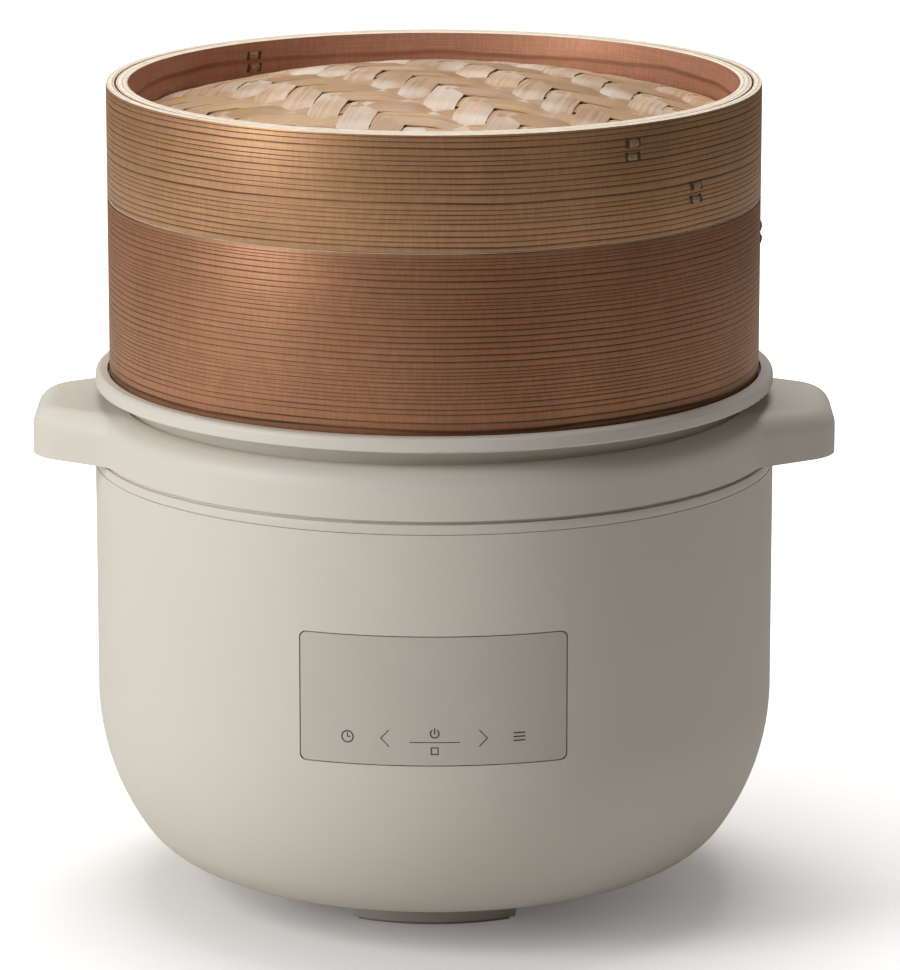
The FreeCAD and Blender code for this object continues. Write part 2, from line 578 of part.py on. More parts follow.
def plate_supports():
    """Three flanged sleeves between the liner's floor and the heating plate."""
    sleeves = []
    for bearing in SLEEVE_BEARINGS:
        sleeve = turned([(2.0, LINER_FLOOR + HOLE_GAP, 0), (6.0, LINER_FLOOR + HOLE_GAP, 0),
                         (6.0, LINER_FLOOR + 1.4, 0), (4.0, LINER_FLOOR + 1.4, 0),
                         (4.0, HOT_UNDER - HOLE_GAP, 0), (2.0, HOT_UNDER - HOLE_GAP, 0)])
        sleeve.translate(Vector(HOT_RADIUS - 6.5, 0, 0))
        sleeves.append(at_bearing(sleeve, bearing))
    return Part.makeCompound(sleeves)


def sensor_cap():
    """Top-hat cap on a stem, in the middle of the heating plate."""
    top = HOT_TOP - 0.1
    return turned([(0, top - 1.2, 0), (SENSOR_CAP - 1, top - 1.2, 0), (SENSOR_CAP - 1, top - 7, 0),
                   (SENSOR_CAP + 0.8, top - 7, 0), (SENSOR_CAP + 0.8, top - 6.2, 0),
                   (SENSOR_CAP, top - 6.2, 0), (SENSOR_CAP, top, 1.0), (0, top, 0)]).fuse(
                       rod(SENSOR_STEM, LINER_UNDER - 3, top - 1.0))


def sensor_holder():
    """Guide for the sensor's stem, set in the liner's floor."""
    bore = SENSOR_STEM + 0.15
    return turned([(bore, LINER_UNDER - 6, 0), (HOLDER_COLLAR, LINER_UNDER - 6, 0),
                   (HOLDER_COLLAR, LINER_UNDER, 0), (SENSOR_HOLE - SIDE_GAP, LINER_UNDER, 0),
                   (SENSOR_HOLE - SIDE_GAP, LINER_FLOOR + HOLE_GAP, 0),
                   (SENSOR_HOLE + 4, LINER_FLOOR + HOLE_GAP, 0), (SENSOR_HOLE + 4, HOLDER_SEAT, 0),
                   (HOLDER_COLLAR, HOLDER_SEAT, 0), (HOLDER_COLLAR, LINER_FLOOR + 3, 0),
                   (bore, LINER_FLOOR + 3, 0)])


def tangent_arcs(start, start_way, end, end_way):
    """Two arcs that join two points of the coil and run along it at both."""
    chord = end - start
    ways = start_way + end_way
    square = ways.dot(ways) - 4
    along = chord.dot(ways)
    reach = (along - math.sqrt(along ** 2 - square * chord.dot(chord))) / square
    if reach < 0:
        reach = (along + math.sqrt(along ** 2 - square * chord.dot(chord))) / square
    first = start + start_way * reach
    second = end - end_way * reach
    joint = (first + second) * 0.5
    arcs = []
    for near, corner, far in ((start, first, joint), (joint, second, end)):
        middle = (near + far) * 0.5
        cosine = (far - near).Length / 2 / reach
        crown = middle + (corner - middle) * (cosine / (1 + cosine))
        arcs.append(Part.Arc(near, crown, far).toShape())
    return arcs


def sensor_spring():
    """Coil spring between the holder and the cap, one unbroken wire."""
    low = HOLDER_SEAT + HOLE_GAP + SPRING_WIRE
    high = HOT_TOP - 1.3 - HOLE_GAP - SPRING_WIRE
    rise = (high - low) / (2 * math.pi * SPRING_COILS)

    def on_coil(angle):
        return Vector(SPRING_RADIUS * math.cos(angle), SPRING_RADIUS * math.sin(angle), low + rise * angle)

    def way(angle):
        return Vector(-SPRING_RADIUS * math.sin(angle), SPRING_RADIUS * math.cos(angle), rise).normalize()

    edges = []
    for quarter in range(4 * SPRING_COILS):
        start = quarter * math.pi / 2
        end = start + math.pi / 2
        edges += tangent_arcs(on_coil(start), way(start), on_coil(end), way(end))
    print("least gap between turns of the spring", round(rise * 2 * math.pi - 2 * SPRING_WIRE, 2))
    section = Part.Wire(Part.makeCircle(SPRING_WIRE, on_coil(0), way(0)))
    return Part.Wire(edges).makePipeShell([section], True, False)


def thermal_fuse():
    """Fuse in its clamp under the heating plate."""
    strap = block(-5, 5, 24, 35, HOT_UNDER - 1.0, HOT_UNDER - HOLE_GAP)
    fuse = Part.makeCylinder(2.0, 16, Vector(-8, 29.5, HOT_UNDER - 2.9), Vector(1, 0, 0))
    return strap.fuse(fuse)


def power_board():
    board = block(-BOARD_LENGTH / 2, BOARD_LENGTH / 2, BOARD_NEAR, BOARD_NEAR + BOARD_WIDTH,
                  BOARD_UNDER + HOLE_GAP, BOARD_TOP)
    for x, y in BOARD_POSTS:
        board = board.cut(rod(1.6, BOARD_UNDER - 1, BOARD_UNDER + 5, x, y))
    return board


def power_components():
    """Transformer, relay, capacitor, choke and terminal block on the power board."""
    top = BOARD_TOP
    room = LINER_UNDER - 3 - top
    near = BOARD_NEAR
    pieces = [block(-23, -5, near + 8, near + 26, top, top + min(15, room)),
              block(-1, 18, near + 3, near + 18, top, top + min(14.5, room)),
              block(-1, 17, near + 22, near + 29, top, top + min(13, room)),
              rod(4.0, top, top + min(12, room), 23, near + 13),
              block(-22, -8, near + 29, near + 36, top, top + min(9, room))]
    return Part.makeCompound(pieces)


def board_screws():
    group = []
    for x, y in BOARD_POSTS:
        head = rod(2.4, BOARD_TOP + 0.05, BOARD_TOP + 1.6, x, y)
        group.append(head.fuse(rod(1.0, COVER_TOP + 1, BOARD_TOP + 1, x, y)))
    return Part.makeCompound(group)


# Control panel and what is behind it

def control_panel():
    """Curved touch panel, flush with the wall."""
    panel = front_window(PANEL_WIDTH, PANEL_HEIGHT, PANEL_CORNER, BODY_RADIUS - PANEL_THICKNESS)
    return panel.common(rod(BODY_RADIUS - 0.05, PANEL_BOTTOM - 1, PANEL_TOP + 1))


def control_board():
    return block(-BOARD_HALF, BOARD_HALF, BOARD_FRONT, BOARD_FRONT + BOARD_THICKNESS,
                 PANEL_BOTTOM + 2.2, PANEL_TOP - 5)


def display_module():
    """Number display with its light frame, behind the upper half of the panel."""
    bottom = PANEL_TOP - 22
    frame = front_rectangle(44, bottom, bottom + 14, 1, -BODY_RADIUS, BOARD_FRONT - HOLE_GAP)
    return frame.common(rod(BODY_RADIUS - PANEL_THICKNESS - 0.6, bottom - 1, bottom + 16))


def touch_electrodes():
    """Five posts that carry the touch signal from the panel to the board."""
    posts = []
    for x in TOUCH_PLACES:
        post = Part.makeCylinder(3.6, BODY_RADIUS + BOARD_FRONT - HOLE_GAP,
                                 Vector(x, -BODY_RADIUS, PANEL_BOTTOM + 10.5), Vector(0, 1, 0))
        posts.append(post.common(rod(BODY_RADIUS - PANEL_THICKNESS - 0.3, 0, BODY_TOP)))
    return Part.makeCompound(posts)


# Appliance inlet at the back

def inlet_housing():
    low = INLET_MIDDLE - INLET_HEIGHT / 2
    high = INLET_MIDDLE + INLET_HEIGHT / 2
    flange = front_rectangle(INLET_WIDTH + 5, low - 2.5, high + 2.5, 2.2,
                             BODY_RADIUS - 2 + HOLE_GAP, BODY_RADIUS + 0.6)
    body = front_rectangle(INLET_WIDTH, low, high, 1.5, INLET_BACK, BODY_RADIUS - 1)
    half = INLET_WIDTH / 2 - 1.7
    socket = front_prism([(-half, low + 1.8, 1), (half, low + 1.8, 1), (half, high - 6.8, 1),
                          (half - 5, high - 1.8, 1), (5 - half, high - 1.8, 1), (-half, high - 6.8, 1)],
                         INLET_BACK + 2, BODY_RADIUS + 2)
    housing = flange.fuse(body).cut(socket)
    for x, z in INLET_PIN_PLACES:
        housing = housing.cut(block(x - 2.1, x + 2.1, INLET_BACK - 1, INLET_BACK + 3, z - 1.1, z + 1.1))
    return housing


def inlet_pins():
    pins = []
    for x, z in INLET_PIN_PLACES:
        pins.append(block(x - 2, x + 2, INLET_BACK - 3, BODY_RADIUS - 4.5, z - 1, z + 1))
    return Part.makeCompound(pins)


# Steam ring, basket and lid

def steam_ring():
    """Ring that seats the basket and lets the steam up through its middle."""
    skirt_outer = STEAM_OPENING + STEAM_SKIRT_WALL
    groove_top = NECK_BOTTOM + GROOVE_DEPTH
    return turned([(STEAM_OPENING, PLATE_UNDER - STEAM_SKIRT, 0), (skirt_outer, PLATE_UNDER - STEAM_SKIRT, 0),
                   (skirt_outer, PLATE_UNDER, 0), (NECK_INNER, PLATE_UNDER, 0),
                   (NECK_INNER, NECK_BOTTOM, 0), (GROOVE - GROOVE_HALF, NECK_BOTTOM, 0),
                   (GROOVE - GROOVE_HALF, groove_top, 0), (GROOVE + GROOVE_HALF, groove_top, 0),
                   (GROOVE + GROOVE_HALF, NECK_BOTTOM, 0), (NECK_OUTER, NECK_BOTTOM, 0),
                   (NECK_OUTER, PLATE_UNDER, 0), (LIP_OUTER, PLATE_UNDER, 0.8),
                   (LIP_OUTER, LIP_TOP, 1.8), (LIP_INNER, LIP_TOP, 0), (LIP_INNER, RING_SEAT, 0),
                   (STEAM_OPENING, RING_SEAT, 0)])


def ring_gasket():
    """Soft seal with a rib that is pressed into the groove under the neck."""
    top = NECK_BOTTOM - HOLE_GAP
    inner = NECK_INNER + HOLE_GAP
    outer = NECK_OUTER - HOLE_GAP
    rib = GROOVE_HALF - HOLE_GAP
    rib_top = top + GROOVE_DEPTH - 0.2
    return turned([(inner, GASKET_BOTTOM, 0), (outer, GASKET_BOTTOM, 0), (outer, top, 0),
                   (GROOVE + rib, top, 0), (GROOVE + rib, rib_top, 0), (GROOVE - rib, rib_top, 0),
                   (GROOVE - rib, top, 0), (inner, top, 0)])


def hoop(inner, outer, bottom, top, edge=0.0):
    """Bent wooden strip, its edges bevelled where they show."""
    corners = [(inner, bottom, 0), (outer, bottom, 0), (outer, top - edge, 0), (inner, top - edge, 0)]
    if edge > 0:
        corners[3:3] = [(outer - edge, top, 0), (inner + edge, top, 0)]
    return turned(corners)


def stitch(place, low, high, inner, outer, ease):
    """Strap of cane sewn through both strips: two legs and a flat run on each side."""
    bearing, share, tilt = place
    height = low + share * (high - low)
    half_width = STRAP_HALF_WIDTH + ease
    half_height = STRAP_HALF_HEIGHT + ease
    runs = []
    for side in (-STITCH_HALF, STITCH_HALF):
        runs.append(block(inner - STRAP_FAR, outer + STRAP_FAR, -half_width, half_width,
                          side - half_height, side + half_height))
    reach = STITCH_HALF + half_height
    for near, far in ((inner - STRAP_FAR - ease, inner - STRAP_NEAR),
                      (outer + STRAP_NEAR, outer + STRAP_FAR + ease)):
        runs.append(block(near, far, -half_width, half_width, -reach, reach))
    strap = runs[0].multiFuse(runs[1:])
    strap.rotate(ORIGIN, Vector(1, 0, 0), tilt)
    strap.translate(Vector(0, 0, height))
    return at_bearing(strap, bearing)


def sewn(shape, places, low, high):
    """Cuts the holes that the stitches run through."""
    for place in places:
        shape = shape.cut(stitch(place, low, high, WOOD_INNER, WOOD_RADIUS, STITCH_EASE))
    return shape


def stitches(places, low, high):
    return Part.makeCompound([stitch(place, low, high, WOOD_INNER, WOOD_RADIUS, 0) for place in places])


def floor_slats():
    """Slats across the basket, each end following the hoop."""
    reach = HOLDER_OUTER
    pitch = SLAT_WIDTH + SLAT_GAP
    count = int(2 * (reach - 3) / pitch)
    disc = rod(reach, SLAT_BOTTOM - 1, SLAT_BOTTOM + SLAT_THICKNESS + 1)
    slats = []
    for index in range(count):
        middle = (index - (count - 1) / 2) * pitch
        slat = block(-reach, reach, middle - SLAT_WIDTH / 2, middle + SLAT_WIDTH / 2,
                     SLAT_BOTTOM, SLAT_BOTTOM + SLAT_THICKNESS)
        slats.append(slat.common(disc))
    return Part.makeCompound(slats)


def floor_battens():
    reach = HOLDER_OUTER
    disc = rod(reach, BATTEN_BOTTOM - 1, BATTEN_BOTTOM + BATTEN_THICKNESS + 1)
    battens = []
    for x in (-reach * 0.5, 0, reach * 0.5):
        batten = block(x - BATTEN_WIDTH / 2, x + BATTEN_WIDTH / 2, -reach, reach,
                       BATTEN_BOTTOM, BATTEN_BOTTOM + BATTEN_THICKNESS)
        battens.append(batten.common(disc))
    return Part.makeCompound(battens)


def lid_mat():
    """Shallow dome of the lid, laid on its holding strip."""
    radius = (HOLDER_OUTER ** 2 + MAT_RISE ** 2) / (2 * MAT_RISE)
    tip = MAT_EDGE + MAT_RISE

    def on_dome(share, drop):
        distance = HOLDER_OUTER * share
        return Vector(distance, 0, tip - drop - radius + math.sqrt(radius ** 2 - distance ** 2))

    top = Part.Arc(on_dome(0, 0), on_dome(0.5, 0), on_dome(1, 0)).toShape()
    under = Part.Arc(on_dome(1, MAT_THICKNESS), on_dome(0.5, MAT_THICKNESS), on_dome(0, MAT_THICKNESS)).toShape()
    edge = Part.LineSegment(on_dome(1, 0), on_dome(1, MAT_THICKNESS)).toShape()
    axis = Part.LineSegment(on_dome(0, MAT_THICKNESS), on_dome(0, 0)).toShape()
    return Part.Face(Part.Wire([top, edge, under, axis])).revolve(ORIGIN, UP, 360)


os.makedirs("parts", exist_ok=True)

save("body_shell", body_shell())
save("trim_band", trim_band())
save("handle_collar", handle_collar())
save("collar_screws", screws(COLLAR_SCREW_BEARINGS, SCREW_CIRCLE, LEDGE_TOP - 1.9, LEDGE_TOP - 0.1,
                             LEDGE_UNDER - 18))
save("bottom_cover", bottom_cover())
save("foot_pads", foot_pads())
save("bottom_screws", screws(COLLAR_SCREW_BEARINGS, COVER_SCREW_CIRCLE, FOOT_HEIGHT - 2, FOOT_HEIGHT - 0.1,
                             FOOT_HEIGHT + 9))
save("inner_liner", inner_liner())
save("liner_screws", screws(LINER_POST_BEARINGS, LINER_CIRCLE, LINER_FLOOR + 0.1, LINER_FLOOR + 1.9,
                            LINER_UNDER - 10, 2.8, 1.3))
save("heating_plate", heating_plate())
save("heating_tube", heating_tube())
save("heater_terminals", heater_terminals())
save("plate_supports", plate_supports())
save("sensor_cap", sensor_cap())
save("sensor_holder", sensor_holder())
save("sensor_spring", sensor_spring())
save("thermal_fuse", thermal_fuse())
save("power_board", power_board())
save("power_components", power_components())
save("board_screws", board_screws())
save("control_panel", control_panel())
save("control_board", control_board())
save("display_module", display_module())
save("touch_electrodes", touch_electrodes())
save("inlet_housing", inlet_housing())
save("inlet_pins", inlet_pins())
save("inner_pot", inner_pot())
save("steam_ring", steam_ring())
save("ring_gasket", ring_gasket())
save("basket_outer_hoop", sewn(hoop(STRIP_JOINT, WOOD_RADIUS, BASKET_BOTTOM, BASKET_TOP, WOOD_BEVEL),
                               BASKET_STITCHES, BASKET_BOTTOM, BASKET_TOP))
save("basket_inner_hoop", sewn(hoop(WOOD_INNER, INNER_STRIP_OUTER, BASKET_BOTTOM, SPIGOT_TOP, WOOD_BEVEL),
                               BASKET_STITCHES, BASKET_BOTTOM, BASKET_TOP))
save("basket_holding_strip", hoop(HOLDER_INNER, HOLDER_OUTER, BASKET_BOTTOM, HOLDER_TOP))
save("floor_battens", floor_battens())
save("floor_slats", floor_slats())
save("basket_stitches", stitches(BASKET_STITCHES, BASKET_BOTTOM, BASKET_TOP))
save("lid_outer_hoop", sewn(hoop(STRIP_JOINT, WOOD_RADIUS, LID_BOTTOM, LID_TOP, WOOD_BEVEL),
                            LID_STITCHES, LID_BOTTOM, LID_TOP))
save("lid_inner_hoop", sewn(hoop(WOOD_INNER, INNER_STRIP_OUTER, SPIGOT_TOP + 0.4, LID_TOP, WOOD_BEVEL),
                            LID_STITCHES, LID_BOTTOM, LID_TOP))
save("lid_holding_strip", sewn(hoop(HOLDER_INNER, HOLDER_OUTER, SPIGOT_TOP + 2.0, MAT_EDGE - MAT_THICKNESS - 0.3),
                               LID_STITCHES, LID_BOTTOM, LID_TOP))
save("lid_mat", sewn(lid_mat(), LID_STITCHES, LID_BOTTOM, LID_TOP))
save("lid_stitches", stitches(LID_STITCHES, LID_BOTTOM, LID_TOP))
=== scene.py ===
# %% [markdown]
# Electric food steamer, the looks.
# The frame already holds every solid at its real place, in metres. This script gives each one a
# finish, models the wooden hoops, the woven lid and the marks on the panel, and sets up the
# camera and the light of a plain product photograph.

# %% Load the frame
import bmesh
import bpy
import json
import math
import random
from mathutils import Matrix, Vector


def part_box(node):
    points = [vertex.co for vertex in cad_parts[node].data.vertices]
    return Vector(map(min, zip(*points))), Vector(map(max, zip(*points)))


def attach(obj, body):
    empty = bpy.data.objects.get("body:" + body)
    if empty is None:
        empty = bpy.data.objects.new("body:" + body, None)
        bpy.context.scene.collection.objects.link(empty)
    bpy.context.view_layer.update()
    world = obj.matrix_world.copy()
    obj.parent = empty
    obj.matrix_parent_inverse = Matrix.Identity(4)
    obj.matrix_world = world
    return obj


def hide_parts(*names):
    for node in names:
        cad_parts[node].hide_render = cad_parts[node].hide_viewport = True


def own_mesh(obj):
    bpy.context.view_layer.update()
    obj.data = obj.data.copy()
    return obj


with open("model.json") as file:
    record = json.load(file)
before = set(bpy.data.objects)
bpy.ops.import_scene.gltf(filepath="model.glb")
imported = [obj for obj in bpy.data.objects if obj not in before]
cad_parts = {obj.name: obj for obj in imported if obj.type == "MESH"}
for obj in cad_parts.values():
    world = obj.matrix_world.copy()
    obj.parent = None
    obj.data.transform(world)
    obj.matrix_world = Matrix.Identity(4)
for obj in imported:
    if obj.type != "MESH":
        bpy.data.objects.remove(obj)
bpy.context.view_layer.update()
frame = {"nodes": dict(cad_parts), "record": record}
nodes = frame["nodes"]
print("CAD nodes:", len(nodes))

# %% [markdown]
# A photograph of a product is taken from far away with a long lens, so that upright lines stay
# upright. The camera stands almost two metres off, a little above the lid, and looks down at the
# front of the steamer by thirteen degrees.

# %% Camera
PHOTO_HEIGHT = 970
FOCAL_PIXELS = 5709.0
SENSOR_HEIGHT = 36.0
CAMERA_PLACE = (0.0054, -1.909, 0.5924)
PITCH = math.radians(13.32)

camera_data = bpy.data.cameras.new("camera")
camera_data.sensor_fit = "VERTICAL"
camera_data.sensor_height = SENSOR_HEIGHT
camera_data.lens = FOCAL_PIXELS / PHOTO_HEIGHT * SENSOR_HEIGHT
camera = bpy.data.objects.new("camera", camera_data)
camera.location = CAMERA_PLACE
camera.rotation_euler = (math.pi / 2 - PITCH, 0, 0)
bpy.context.scene.collection.objects.link(camera)
bpy.context.scene.camera = camera
print("lens", round(camera_data.lens, 1), "mm")

# %% [markdown]
# Every finish is a small graph of nodes. These helpers keep the graphs short: each one adds a
# node, feeds it with numbers or with other nodes, and hands back the socket that counts.

# %% Helpers for node graphs
def new_material(name, colour, roughness, metallic=0.0):
    material = bpy.data.materials.new(name)
    material.use_nodes = True
    shader = material.node_tree.nodes["Principled BSDF"]
    shader.inputs["Base Color"].default_value = (*colour, 1)
    shader.inputs["Roughness"].default_value = roughness
    shader.inputs["Metallic"].default_value = metallic
    return material, material.node_tree, shader


def add_node(tree, kind, **settings):
    node = tree.nodes.new(kind)
    for name, value in settings.items():
        setattr(node, name, value)
    return node


def link(tree, source, target):
    tree.links.new(source, target)


def feed(tree, socket, value):
    """Gives a socket a number, a colour, or the output of another node."""
    if isinstance(value, (int, float, tuple)):
        socket.default_value = value
    else:
        link(tree, value, socket)


def object_place(tree):
    return add_node(tree, "ShaderNodeTexCoord").outputs["Object"]


def math_node(tree, operation, first, second):
    node = add_node(tree, "ShaderNodeMath", operation=operation)
    feed(tree, node.inputs[0], first)
    feed(tree, node.inputs[1], second)
    return node.outputs[0]


def stretched(tree, vector, factors):
    """A place multiplied by one factor for each axis."""
    node = add_node(tree, "ShaderNodeVectorMath", operation="MULTIPLY")
    link(tree, vector, node.inputs[0])
    node.inputs[1].default_value = factors
    return node.outputs[0]


def length_of(tree, vector):
    node = add_node(tree, "ShaderNodeVectorMath", operation="LENGTH")
    link(tree, vector, node.inputs[0])
    return node.outputs["Value"]


def noise_node(tree, vector, scale, detail=2.0, roughness=0.5):
    node = add_node(tree, "ShaderNodeTexNoise")
    node.inputs["Scale"].default_value = scale
    node.inputs["Detail"].default_value = detail
    node.inputs["Roughness"].default_value = roughness
    link(tree, vector, node.inputs["Vector"])
    return node.outputs["Fac"]


def noise_along(tree, value, scale):
    """Noise that changes with one number only."""
    node = add_node(tree, "ShaderNodeTexNoise", noise_dimensions="1D")
    link(tree, value, node.inputs["W"])
    feed(tree, node.inputs["Scale"], scale)
    return node.outputs["Fac"]


def wave_along(tree, value, axis, scale, profile="SIN"):
    """Wave that follows one number, which stands in for a coordinate."""
    stack = add_node(tree, "ShaderNodeCombineXYZ")
    link(tree, value, stack.inputs[axis])
    wave = add_node(tree, "ShaderNodeTexWave", bands_direction=axis, wave_profile=profile)
    link(tree, stack.outputs[0], wave.inputs["Vector"])
    feed(tree, wave.inputs["Scale"], scale)
    return wave.outputs["Fac"]


def ramp_node(tree, factor, stops):
    """Colour ramp; stops are (position, grey) or (position, colour)."""
    node = add_node(tree, "ShaderNodeValToRGB")
    link(tree, factor, node.inputs["Fac"])
    while len(node.color_ramp.elements) < len(stops):
        node.color_ramp.elements.new(0.5)
    for element, (position, colour) in zip(node.color_ramp.elements, stops):
        if isinstance(colour, (int, float)):
            colour = (colour,) * 3
        element.position = position
        element.color = (*colour, 1)
    return node.outputs["Color"]


def mix_colour(tree, factor, first, second, blend="MIX"):
    node = add_node(tree, "ShaderNodeMix", data_type="RGBA", blend_type=blend)
    for name, value in (("Factor", factor), ("A", first), ("B", second)):
        socket = next(s for s in node.inputs if s.name == name and s.enabled)
        if isinstance(value, tuple):
            value = (*value, 1)
        feed(tree, socket, value)
    return next(s for s in node.outputs if s.enabled)


def bump_node(tree, height, strength, distance):
    node = add_node(tree, "ShaderNodeBump")
    node.inputs["Strength"].default_value = strength
    node.inputs["Distance"].default_value = distance
    link(tree, height, node.inputs["Height"])
    return node.outputs["Normal"]


def new_group(name, inputs, outputs):
    """Node group with named sockets: (name, type, default) in, (name, type) out."""
    tree = bpy.data.node_groups.new(name, "ShaderNodeTree")
    for title, kind, default in inputs:
        socket = tree.interface.new_socket(title, in_out="INPUT", socket_type="NodeSocket" + kind)
        if default is not None:
            socket.default_value = default
    for title, kind in outputs:
        tree.interface.new_socket(title, in_out="OUTPUT", socket_type="NodeSocket" + kind)
    return tree, add_node(tree, "NodeGroupInput"), add_node(tree, "NodeGroupOutput")


def use_group(tree, group, **values):
    node = add_node(tree, "ShaderNodeGroup", node_tree=group)
    for name, value in values.items():
        feed(tree, node.inputs[name.replace("_", " ")], value)
    return node


# %% [markdown]
# The hoops are sawn from a conifer with close, even rings. Cut along the trunk, the rings show as
# thin dark lines that run round the hoop, about a millimetre apart, never quite level and never
# quite evenly spaced. A saw-tooth wave along the height gives a slow change of tone that ends in a
# sharp dark line, as real late wood does. Two noises bend it: one along the height, which
# varies the spacing, and one around the hoop, which makes the lines wander. Broad patches change
# the colour of the wood, and small upright flecks and level fibres lie over it.

# %% Group: growth lines of the bent wood
SLOW_RISE = (1, 1, 0.5)
WANDER_SCALE = 9.0
SPACING_SCALE = 75.0
SPACING_SWAY = 0.0060
LINE_TONE = [(0.0, 0.45), (0.05, 0.0), (0.6, 0.06), (0.80, 0.30), (0.88, 1.0), (1.0, 0.9)]
FADE_SCALE = 24.0
FADE_TONE = [(0.3, 0.66), (0.6, 1.0)]
PATCH_SCALE = 15.0
PATCH_TONE = [(0.32, 0.0), (0.7, 1.0)]
FLECK_STRETCH = (1, 1, 0.22)
FLECK_SCALE = 900.0
FLECK_TONE = [(0.40, 0.93), (0.66, 1.07)]
FIBRE_STRETCH = (45, 45, 2600)
FIBRE_TONE = [(0.35, 0.90), (0.65, 1.08)]


def growth_lines_group():
    inputs = [("Vector", "Vector", None), ("Line scale", "Float", 210.0),
              ("Wander", "Float", 0.0012), ("Light wood", "Color", (0.45, 0.24, 0.12, 1)),
              ("Deep wood", "Color", (0.3, 0.14, 0.07, 1)),
              ("Line", "Color", (0.07, 0.03, 0.015, 1))]
    outputs = [("Color", "Color"), ("Height", "Float")]
    tree, enter, leave = new_group("growth lines", inputs, outputs)
    given = enter.outputs
    place = given["Vector"]
    slow = stretched(tree, place, SLOW_RISE)
    parts = add_node(tree, "ShaderNodeSeparateXYZ")
    link(tree, place, parts.inputs[0])
    height = parts.outputs["Z"]

    wander = math_node(tree, "SUBTRACT", noise_node(tree, slow, WANDER_SCALE, detail=3.0), 0.5)
    wander = math_node(tree, "MULTIPLY", wander, given["Wander"])
    spacing = noise_along(tree, height, SPACING_SCALE)
    spacing = math_node(tree, "MULTIPLY", spacing, SPACING_SWAY)
    bent = math_node(tree, "ADD", math_node(tree, "ADD", height, wander), spacing)
    tone = ramp_node(tree, wave_along(tree, bent, "Z", given["Line scale"], "SAW"), LINE_TONE)
    fade = ramp_node(tree, noise_node(tree, slow, FADE_SCALE), FADE_TONE)
    line = math_node(tree, "MULTIPLY", tone, fade)

    patches = ramp_node(tree, noise_node(tree, slow, PATCH_SCALE, detail=4.0), PATCH_TONE)
    wood = mix_colour(tree, patches, given["Light wood"], given["Deep wood"])
    flecks = noise_node(tree, stretched(tree, place, FLECK_STRETCH), FLECK_SCALE)
    wood = mix_colour(tree, 1.0, wood, ramp_node(tree, flecks, FLECK_TONE), "MULTIPLY")
    fibres = noise_node(tree, stretched(tree, place, FIBRE_STRETCH), scale=1.0, detail=3.0)
    wood = mix_colour(tree, 1.0, wood, ramp_node(tree, fibres, FIBRE_TONE), "MULTIPLY")
    link(tree, mix_colour(tree, line, wood, given["Line"]), leave.inputs["Color"])
    link(tree, math_node(tree, "SUBTRACT", 1.0, line), leave.inputs["Height"])
    return tree


growth_lines = growth_lines_group()
print("group:", growth_lines.name)

# %% [markdown]
# Each face of a hoop gets its own values of that group. The lid's band is golden brown, the
# basket's band is redder, and the planed inner faces are smooth and pink with a few broad rings.
# Bent wood has a silky sheen that takes the colour of the wood, so the finish is a little metallic.

# %% Wood finishes
SILK = 0.36
SHEEN_TINT = (1.0, 0.80, 0.60, 1)
GROOVED = 0.0002


def wood_finish(name, light, deep, line, scale, wander, roughness, bump):
    material, tree, shader = new_material(name, light, roughness, SILK)
    shader.inputs["Specular Tint"].default_value = SHEEN_TINT
    group = use_group(tree, growth_lines, Vector=object_place(tree), Line_scale=scale,
                      Wander=wander, Light_wood=(*light, 1), Deep_wood=(*deep, 1), Line=(*line, 1))
    link(tree, group.outputs["Color"], shader.inputs["Base Color"])
    link(tree, bump_node(tree, group.outputs["Height"], bump, GROOVED), shader.inputs["Normal"])
    return material


lid_wood = wood_finish(
    "lid_wood", light=(0.50, 0.275, 0.137), deep=(0.35, 0.178, 0.086), line=(0.055, 0.025, 0.013),
    scale=165.0, wander=0.0022, roughness=0.42, bump=0.5)
basket_wood = wood_finish(
    "basket_wood", light=(0.42, 0.20, 0.103), deep=(0.30, 0.134, 0.067), line=(0.05, 0.021, 0.012),
    scale=190.0, wander=0.0018, roughness=0.44, bump=0.5)
inner_wood = wood_finish(
    "inner_wood", light=(0.50, 0.25, 0.155), deep=(0.42, 0.19, 0.115), line=(0.25, 0.105, 0.06),
    scale=34.0, wander=0.0120, roughness=0.55, bump=0.25)
print("woods:", lid_wood.name, basket_wood.name, inner_wood.name)

# %% [markdown]
# The sawn rim shows the strips' end grain: pale cream, with the thin dark joints between the
# layers. The joints follow the distance from the middle, so the wave reads that distance.

# %% Rim finish
RIM_COLOUR = (0.80, 0.69, 0.55)
RIM_ROUGHNESS = 0.6
RIM_BUMP = 0.3
JOINT_SCALE = 190.0
JOINT_WANDER = 0.0016
JOINT_WANDER_SCALE = 14.0
JOINT_TONE = [(0.0, (0.52, 0.41, 0.29)), (0.14, (0.78, 0.67, 0.53)), (1.0, (0.84, 0.75, 0.62))]
MOTTLE_SCALE = 220.0
MOTTLE_TONE = [(0.3, 0.88), (0.7, 1.06)]


def rim_finish():
    material, tree, shader = new_material("rim_wood", RIM_COLOUR, RIM_ROUGHNESS)
    place = object_place(tree)
    flat = stretched(tree, place, (1, 1, 0))
    wander = noise_node(tree, flat, JOINT_WANDER_SCALE)
    wander = math_node(tree, "MULTIPLY", wander, JOINT_WANDER)
    radius = math_node(tree, "ADD", length_of(tree, flat), wander)
    wave = wave_along(tree, radius, "X", JOINT_SCALE)
    joints = ramp_node(tree, wave, JOINT_TONE)
    mottle = ramp_node(tree, noise_node(tree, place, MOTTLE_SCALE, detail=4.0), MOTTLE_TONE)
    link(tree, mix_colour(tree, 1.0, joints, mottle, "MULTIPLY"), shader.inputs["Base Color"])
    link(tree, bump_node(tree, wave, RIM_BUMP, GROOVED), shader.inputs["Normal"])
    return material


rim_wood = rim_finish()
print("rim:", rim_wood.name)

